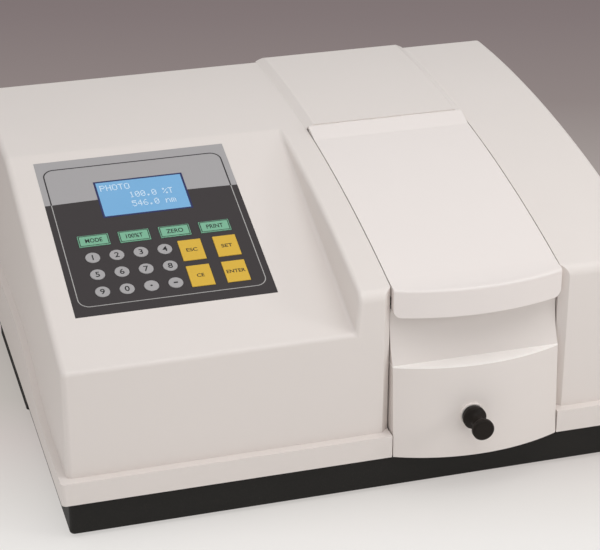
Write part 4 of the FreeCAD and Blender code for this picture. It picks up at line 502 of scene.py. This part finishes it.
def key_cap(name, colour, shade):
    """Printed polyester, its grain darker down to the given share of its tone."""
    finish = Finish(name, {"IOR": 1.5})
    grain = finish.noise(2400.0, 2.0)
    finish.drive("Base Color", finish.mix(grain, shaded(colour, shade), colour))
    finish.drive("Roughness", grain * 0.12 + 0.36)
    finish.bump(grain, 0.000012)
    return finish


digits = "1234567890"
silver_keys = ["key_" + digit for digit in digits] + ["key_point", "key_minus"]
green_keys = ["key_green_%d" % number for number in range(1, 5)]
yellow_keys = ["key_yellow_%d" % number for number in range(1, 5)]
dress(key_cap("key_silver", linear(172, 169, 170), 0.92), *silver_keys)
dress(key_cap("key_mint", linear(124, 184, 152), 0.94), *green_keys)
dress(key_cap("key_amber", linear(222, 180, 58), 0.94), *yellow_keys)

ink = Finish("legend_ink", {"IOR": 1.45})
ink.drive("Base Color", ink.mix(ink.noise(1200.0), linear(20, 20, 22), linear(30, 30, 32)))
ink.drive("Roughness", ink.noise(3000.0) * 0.1 + 0.4)


def words_mesh(text, height, width=None):
    """Lettering as a flat mesh round its own middle, squeezed to a width where one is given."""
    curve = bpy.data.curves.new("words", "FONT")
    curve.body = text
    curve.size = height
    curve.align_x = "CENTER"
    curve.align_y = "CENTER"
    curve.extrude = 0.00003
    curve.resolution_u = 4
    boldness = 0.012
    curve.offset = height * boldness
    holder = bpy.data.objects.new("words", curve)
    bpy.context.scene.collection.objects.link(holder)
    graph = bpy.context.evaluated_depsgraph_get()
    mesh = bpy.data.meshes.new_from_object(holder.evaluated_get(graph))
    bpy.data.objects.remove(holder)
    points = np.array([vertex.co for vertex in mesh.vertices])
    middle = (points.min(0) + points.max(0)) / 2
    mesh.transform(Matrix.Translation(-Vector(middle)))
    if width:
        mesh.transform(Matrix.Diagonal((width / (points.max(0) - points.min(0))[0], 1, 1, 1)))
    return mesh


def key_top(name):
    """The middle of a key's top face."""
    points = [vertex.co for vertex in nodes[name].data.vertices]
    heights = [point.dot(sheet_out) for point in points]
    slack = 0.00005
    tops = [point for point, height in zip(points, heights) if height > max(heights) - slack]
    middle = sum(tops, Vector()) / len(tops)
    along = [(top - middle).dot(sheet_up) for top in tops]
    across = [top.x for top in tops]
    middle = middle + sheet_up * (max(along) + min(along)) / 2
    middle.x = (max(across) + min(across)) / 2
    return middle


def add_legend(key, text, height, width=None, frame_size=None):
    """A key's printed words, with a ruled frame of half that width and height where one is given."""
    shape = bmesh.new()
    shape.from_mesh(words_mesh(text, height, width))
    if frame_size:
        half_x, half_y = frame_size
        line, proud = 0.0006, 0.00003
        corners = [Vector((x, y, proud)) for x, y in
                   ((-half_x, -half_y), (half_x, -half_y), (half_x, half_y), (-half_x, half_y))]
        for start, end in zip(corners, corners[1:] + corners[:1]):
            side = (end - start).normalized()
            inward = Vector((-side.y, side.x, 0)) * line
            strip = (start, end, end + inward, start + inward)
            shape.faces.new([shape.verts.new(point) for point in strip])
    mesh = closed_mesh("legend_" + key, shape)
    film = 0.00002
    mesh.transform(sheet_matrix(key_top(key) + sheet_out * film))
    new_piece("legend_" + key, mesh, ink, key)


for digit in digits:
    add_legend("key_" + digit, digit, 0.0078)
add_legend("key_point", ".", 0.012)
add_legend("key_minus", "-", 0.012)
for key, text in zip(green_keys, ("MODE", "100%T", "ZERO", "PRINT")):
    add_legend(key, text, 0.0064, 0.0132, (0.0114, 0.0056))
letter_width = 0.0029
for key, text in zip(yellow_keys, ("CE", "ESC", "ENTER", "SET")):
    add_legend(key, text, 0.0052, letter_width * len(text))


# Pull knob, rod bush and other black mouldings
# Satin black acetal. The knob is a spool turned from one bar and screwed on the rod's end: a
# front disc with a soft rim, a flared waist and a wider back disc.

satin_black = moulded("satin_black", linear(19, 15, 12), 0.36, 0.00003, 0.15)
dress(satin_black, "pull_knob", "rod_bush", "fan_frame", "fan_rotor", "power_inlet", "rocker")
knob_black = moulded("knob_black", linear(27, 20, 15), 0.5, 0.00003, 0.15)
knob_black.shader.inputs["Specular IOR Level"].default_value = 0.2


def spool():
    """The knob's outline swept round the pull rod's axis, from its front face to its back."""
    low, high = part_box("pull_knob")
    centre = (low + high) / 2
    disc, waist, back_disc = 0.0085, 0.0045, 0.0091
    soft, neck, flare = 0.0016, 0.0052, 0.0035
    shoulder = disc - 0.0006
    turns = 64
    quarter = np.linspace(0, math.pi / 2, 7)
    # a radius and the depth behind the front face for each ring
    outline = [(0.0, 0.0), (0.6 * disc, 0.00005)]
    outline += [(disc - soft + soft * math.sin(a), soft - soft * math.cos(a)) for a in quarter]
    outline += [(disc, 0.0040), (shoulder, neck)]
    outline += [(waist + (shoulder - waist) * (1 - math.sin(a)), neck + flare * (1 - math.cos(a)))
                for a in quarter[1:]]
    whole = high.y - low.y
    outline += [(waist, whole - 0.0058), (waist + 0.0014, whole - 0.0042),
                (back_disc - 0.0008, whole - 0.0036), (back_disc, whole - 0.0028),
                (back_disc, whole - 0.0003), (back_disc - 0.0003, whole), (0.0, whole)]
    angles = [2 * math.pi * step / turns for step in range(turns)]
    shape = bmesh.new()
    rings = []
    for radius, depth in outline:
        if radius == 0.0:
            rings.append([shape.verts.new((centre.x, low.y + depth, centre.z))] * turns)
            continue
        rings.append([shape.verts.new((centre.x + radius * math.cos(a), low.y + depth,
                                       centre.z + radius * math.sin(a))) for a in angles])
    for near, far in zip(rings, rings[1:]):
        for step in range(turns):
            after = (step + 1) % turns
            corners = [near[step], near[after], far[after], far[step]]
            shape.faces.new(list(dict.fromkeys(corners)))
    return closed_mesh("knob_spool", shape, rounded=True)


knob = new_piece("knob_spool", spool(), knob_black, "carriage")
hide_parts("pull_knob")


# Rounded edge of the roof
# Along the right side the cover's roof turns down in a 4.5 mm rounding. The skin drawn here is
# that same moulding, finer than the solid's own facets, so that its outline stays smooth.

def roof_edge():
    """A skin a hair proud of the rounding, its borders tucked into the cover."""
    crest_y, crest_z, bow = 0.152, 0.2125, 1.24
    centre_x, radius = 0.225, 0.0045
    front, back = 0.122, 0.2111
    proud, tuck, hem = 0.00004, 0.0001, 0.0006
    places = np.linspace(front, back, 28)
    turns = np.linspace(0, math.pi / 2, 13)
    shape = bmesh.new()
    rows = []
    for number, place in enumerate(places):
        roof = crest_z - bow + math.sqrt(bow * bow - (place - crest_y) ** 2)
        reach = radius - tuck if number in (0, len(places) - 1) else radius + proud
        points = [(centre_x + radius - tuck, place, roof - radius - hem)]
        points += [(centre_x + reach * math.cos(a), place, roof - radius + reach * math.sin(a))
                   for a in turns]
        points += [(centre_x - hem, place, roof - tuck)]
        rows.append([shape.verts.new(point) for point in points])
    for near, far in zip(rows, rows[1:]):
        for step in range(len(near) - 1):
            shape.faces.new((near[step], near[step + 1], far[step + 1], far[step]))
    return closed_mesh("roof_edge", shape, rounded=True)


new_piece("roof_edge", roof_edge(), case_white, "housing")


# Fan screws
# Four zinc-plated pan-head screws hold the fan behind its grille, each with a cross recess
# turned as it was left by the driver.

class Pattern:
    """A Geometry Nodes tree with named sizes, run once over a bare mesh of points."""

    def __init__(self, name, sizes):
        self.tree = bpy.data.node_groups.new(name, "GeometryNodeTree")
        sockets = self.tree.interface
        sockets.new_socket("Points", in_out="INPUT", socket_type="NodeSocketGeometry")
        self.values = {}
        for label, value in sizes.items():
            socket = sockets.new_socket(label, in_out="INPUT", socket_type="NodeSocketFloat")
            self.values[socket.identifier] = value
        sockets.new_socket("Shape", in_out="OUTPUT", socket_type="NodeSocketGeometry")
        self.given = self.tree.nodes.new("NodeGroupInput").outputs
        self.result = self.tree.nodes.new("NodeGroupOutput").inputs[0]

    def add(self, kind, settings, inputs, output=0):
        """A node, its inputs linked or set by name; a list is a set of links to one socket."""
        node = self.tree.nodes.new(kind)
        for name, value in settings.items():
            setattr(node, name, value)
        for name, value in inputs.items():
            for part in value if isinstance(value, list) else [value]:
                if isinstance(part, bpy.types.NodeSocket):
                    self.tree.links.new(part, node.inputs[name])
                else:
                    node.inputs[name].default_value = part
        return node.outputs[output]

    def mesh(self, shape, finish, points):
        """Close the tree, run it over the points and give the plain mesh."""
        real = self.add("GeometryNodeRealizeInstances", {}, {"Geometry": shape})
        painted = self.add("GeometryNodeSetMaterial", {}, {"Geometry": real, "Material": finish.material})
        self.tree.links.new(painted, self.result)
        cloud = bpy.data.meshes.new("points")
        cloud.from_pydata(points, [], [])
        holder = bpy.data.objects.new("points", cloud)
        bpy.context.scene.collection.objects.link(holder)
        modifier = holder.modifiers.new("pattern", "NODES")
        modifier.node_group = self.tree
        for identifier, value in self.values.items():
            modifier[identifier] = value
        graph = bpy.context.evaluated_depsgraph_get()
        mesh = bpy.data.meshes.new_from_object(holder.evaluated_get(graph))
        bpy.data.objects.remove(holder)
        return mesh


def screw_heads(points, finish):
    """A domed head at each point, facing backwards, with a cross recess turned at random."""
    pattern = Pattern("screw_head", {"Radius": 0.0027, "Height": 0.0017, "Slot": 0.0007})
    radius, height, slot = list(pattern.given)[1:4]
    ball = pattern.add("GeometryNodeMeshUVSphere", {}, {"Segments": 24, "Rings": 12, "Radius": 1.0})
    flat = pattern.add("ShaderNodeCombineXYZ", {}, {"X": radius, "Y": radius, "Z": height})
    dome = pattern.add("GeometryNodeTransform", {}, {"Geometry": ball, "Scale": flat})
    bars = []
    for sizes in ({"X": slot, "Y": radius}, {"X": radius, "Y": slot}):
        bar_size = pattern.add("ShaderNodeCombineXYZ", {}, {**sizes, "Z": height})
        bar = pattern.add("GeometryNodeMeshCube", {}, {"Size": bar_size})
        lift = pattern.add("ShaderNodeCombineXYZ", {}, {"Z": height})
        bars.append(pattern.add("GeometryNodeTransform", {}, {"Geometry": bar, "Translation": lift}))
    head = pattern.add("GeometryNodeMeshBoolean", {"operation": "DIFFERENCE", "solver": "EXACT"},
                       {"Mesh 1": dome, "Mesh 2": bars})
    spots = pattern.add("GeometryNodeInstanceOnPoints", {}, {
        "Points": pattern.given[0], "Instance": head, "Rotation": (-math.pi / 2, 0, 0)})
    turned = pattern.add("FunctionNodeRandomValue", {"data_type": "FLOAT"}, {"Seed": 4}, output=1)
    twist = pattern.add("ShaderNodeCombineXYZ", {}, {"Z": turned})
    loose = pattern.add("GeometryNodeRotateInstances", {}, {"Instances": spots, "Rotation": twist})
    return pattern.mesh(loose, finish, points)


inlet_flange = 0.003
rear_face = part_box("power_inlet")[1].y - inlet_flange
fan_low, fan_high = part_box("fan_frame")
fan_middle = (fan_low + fan_high) / 2
fan_hole = 0.025
fan_corners = [(fan_middle.x + across * fan_hole, rear_face, fan_middle.z + up * fan_hole)
               for across in (-1, 1) for up in (-1, 1)]
new_piece("fan_screws", screw_heads(fan_corners, bright_steel), bright_steel, "housing")


# Socket faces
# Black moulded inserts in the two nine-way sockets, each with five holes over four.

def socket_holes(points, finish):
    """A plate at each point, pierced by five holes over four."""
    pattern = Pattern("socket_face", {"Pitch": 0.00277, "Row": 0.00142, "Bore": 0.0006, "Proud": 0.0005})
    pitch, row, bore, proud = list(pattern.given)[1:5]
    width, height = 0.0166, 0.0070
    plate_size = pattern.add("ShaderNodeCombineXYZ", {}, {"X": width, "Y": proud, "Z": height})
    plate = pattern.add("GeometryNodeMeshCube", {}, {"Size": plate_size})
    pin = pattern.add("GeometryNodeMeshCylinder", {}, {"Vertices": 12, "Radius": bore, "Depth": 0.01})
    holes = []
    for count, side in ((5, 1), (4, -1)):
        start = pattern.add("ShaderNodeMath", {"operation": "MULTIPLY"}, {0: pitch, 1: -(count - 1) / 2})
        level = pattern.add("ShaderNodeMath", {"operation": "MULTIPLY"}, {0: row, 1: side})
        first = pattern.add("ShaderNodeCombineXYZ", {}, {"X": start, "Z": level})
        step = pattern.add("ShaderNodeCombineXYZ", {}, {"X": pitch})
        line = pattern.add("GeometryNodeMeshLine", {}, {
            "Count": count, "Start Location": first, "Offset": step})
        spots = pattern.add("GeometryNodeInstanceOnPoints", {}, {
            "Points": line, "Instance": pin, "Rotation": (math.pi / 2, 0, 0)})
        holes.append(pattern.add("GeometryNodeRealizeInstances", {}, {"Geometry": spots}))
    face = pattern.add("GeometryNodeMeshBoolean", {"operation": "DIFFERENCE", "solver": "EXACT"},
                       {"Mesh 1": plate, "Mesh 2": holes})
    placed = pattern.add("GeometryNodeInstanceOnPoints", {}, {
        "Points": pattern.given[0], "Instance": face})
    return pattern.mesh(placed, finish, points)


port_low, port_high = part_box("data_ports")
port_height = 0.0125
face_stand = 0.00024
port_face = port_high.y + face_stand
port_middles = [((port_low.x + port_high.x) / 2, port_face, level)
                for level in (port_low.z + port_height / 2, port_high.z - port_height / 2)]
port_black = moulded("port_black", linear(24, 24, 26), 0.5, 0.00002, 0.1)
new_piece("socket_faces", socket_holes(port_middles, port_black), port_black, "housing")


# Sample chamber, carriage and cells
# Matt black painted chamber with a foam seal; black anodised carriage; fused quartz cells
# closed with white stoppers.

matt_black = powder_coat("chamber_black", linear(30, 30, 31), 0.8)
dress(matt_black, "sample_chamber", "monochromator_case", "slit_plates", "filter_wheel", "detector")
foam = moulded("seal_foam", linear(34, 34, 35), 0.92, 0.0002, 0.3)
dress(foam, "chamber_gasket")
anodised = turned_metal("holder_anodised", linear(52, 52, 55), 0.45)
dress(anodised, "cell_holder")
stopper = moulded("stopper_white", linear(232, 232, 230), 0.5)
dress(stopper, "cuvette_stoppers")


def clear_glass(name, tint, roughness):
    """Clear glass with a faint smear."""
    finish = Finish(name, {"IOR": 1.46, "Transmission Weight": 0.9, "Alpha": 0.6})
    smear = finish.noise(60.0, 3.0)
    finish.drive("Base Color", finish.mix(smear, tint, (1, 1, 1, 1)))
    finish.drive("Roughness", smear * 0.04 + roughness)
    return finish


quartz = clear_glass("quartz", linear(226, 236, 240), 0.02)
dress(quartz, "cuvettes", "port_lenses")
dress(clear_glass("lamp_glass", linear(235, 235, 240), 0.03), "deuterium_lamp", "tungsten_lamp")


# Optical bench, grating, mirrors and lamp case
# Cast and machined alloy plate; front-coated optics; plain folded sheet round the lamps.

bench_alloy = turned_metal("bench_alloy", linear(176, 178, 181), 0.42, 500.0)
dress(bench_alloy, "optical_bench", "grating_table")
coated = turned_metal("coated_optic", linear(222, 226, 230), 0.12)
dress(coated, "grating", "mirrors", "lamp_mirror")
plain_sheet = turned_metal("plain_sheet", linear(186, 188, 190), 0.36, 700.0)
dress(plain_sheet, "lamp_case", "power_supply", "data_ports")
motor_black = powder_coat("motor_black", linear(48, 48, 50), 0.5)
dress(motor_black, "grating_motor")


# Circuit boards
# Green solder mask with fine tracks that run square to the board.

def solder_mask():
    finish = Finish("solder_mask", {"IOR": 1.5})
    cells = finish.add("ShaderNodeTexBrick", {"offset": 0.37}, Vector=finish.place(), Scale=210.0)
    speck = finish.noise(500.0, 2.0)
    mask = finish.add("ShaderNodeRGBToBW", {}, cells)
    green = finish.mix(speck, linear(28, 92, 52), linear(36, 108, 62))
    finish.drive("Base Color", finish.mix(mask, linear(48, 128, 76), green))
    finish.drive("Roughness", speck * 0.1 + 0.3)
    return finish


mask_green = solder_mask()
dress(mask_green, "main_board", "keypad_board", "lcd_module")
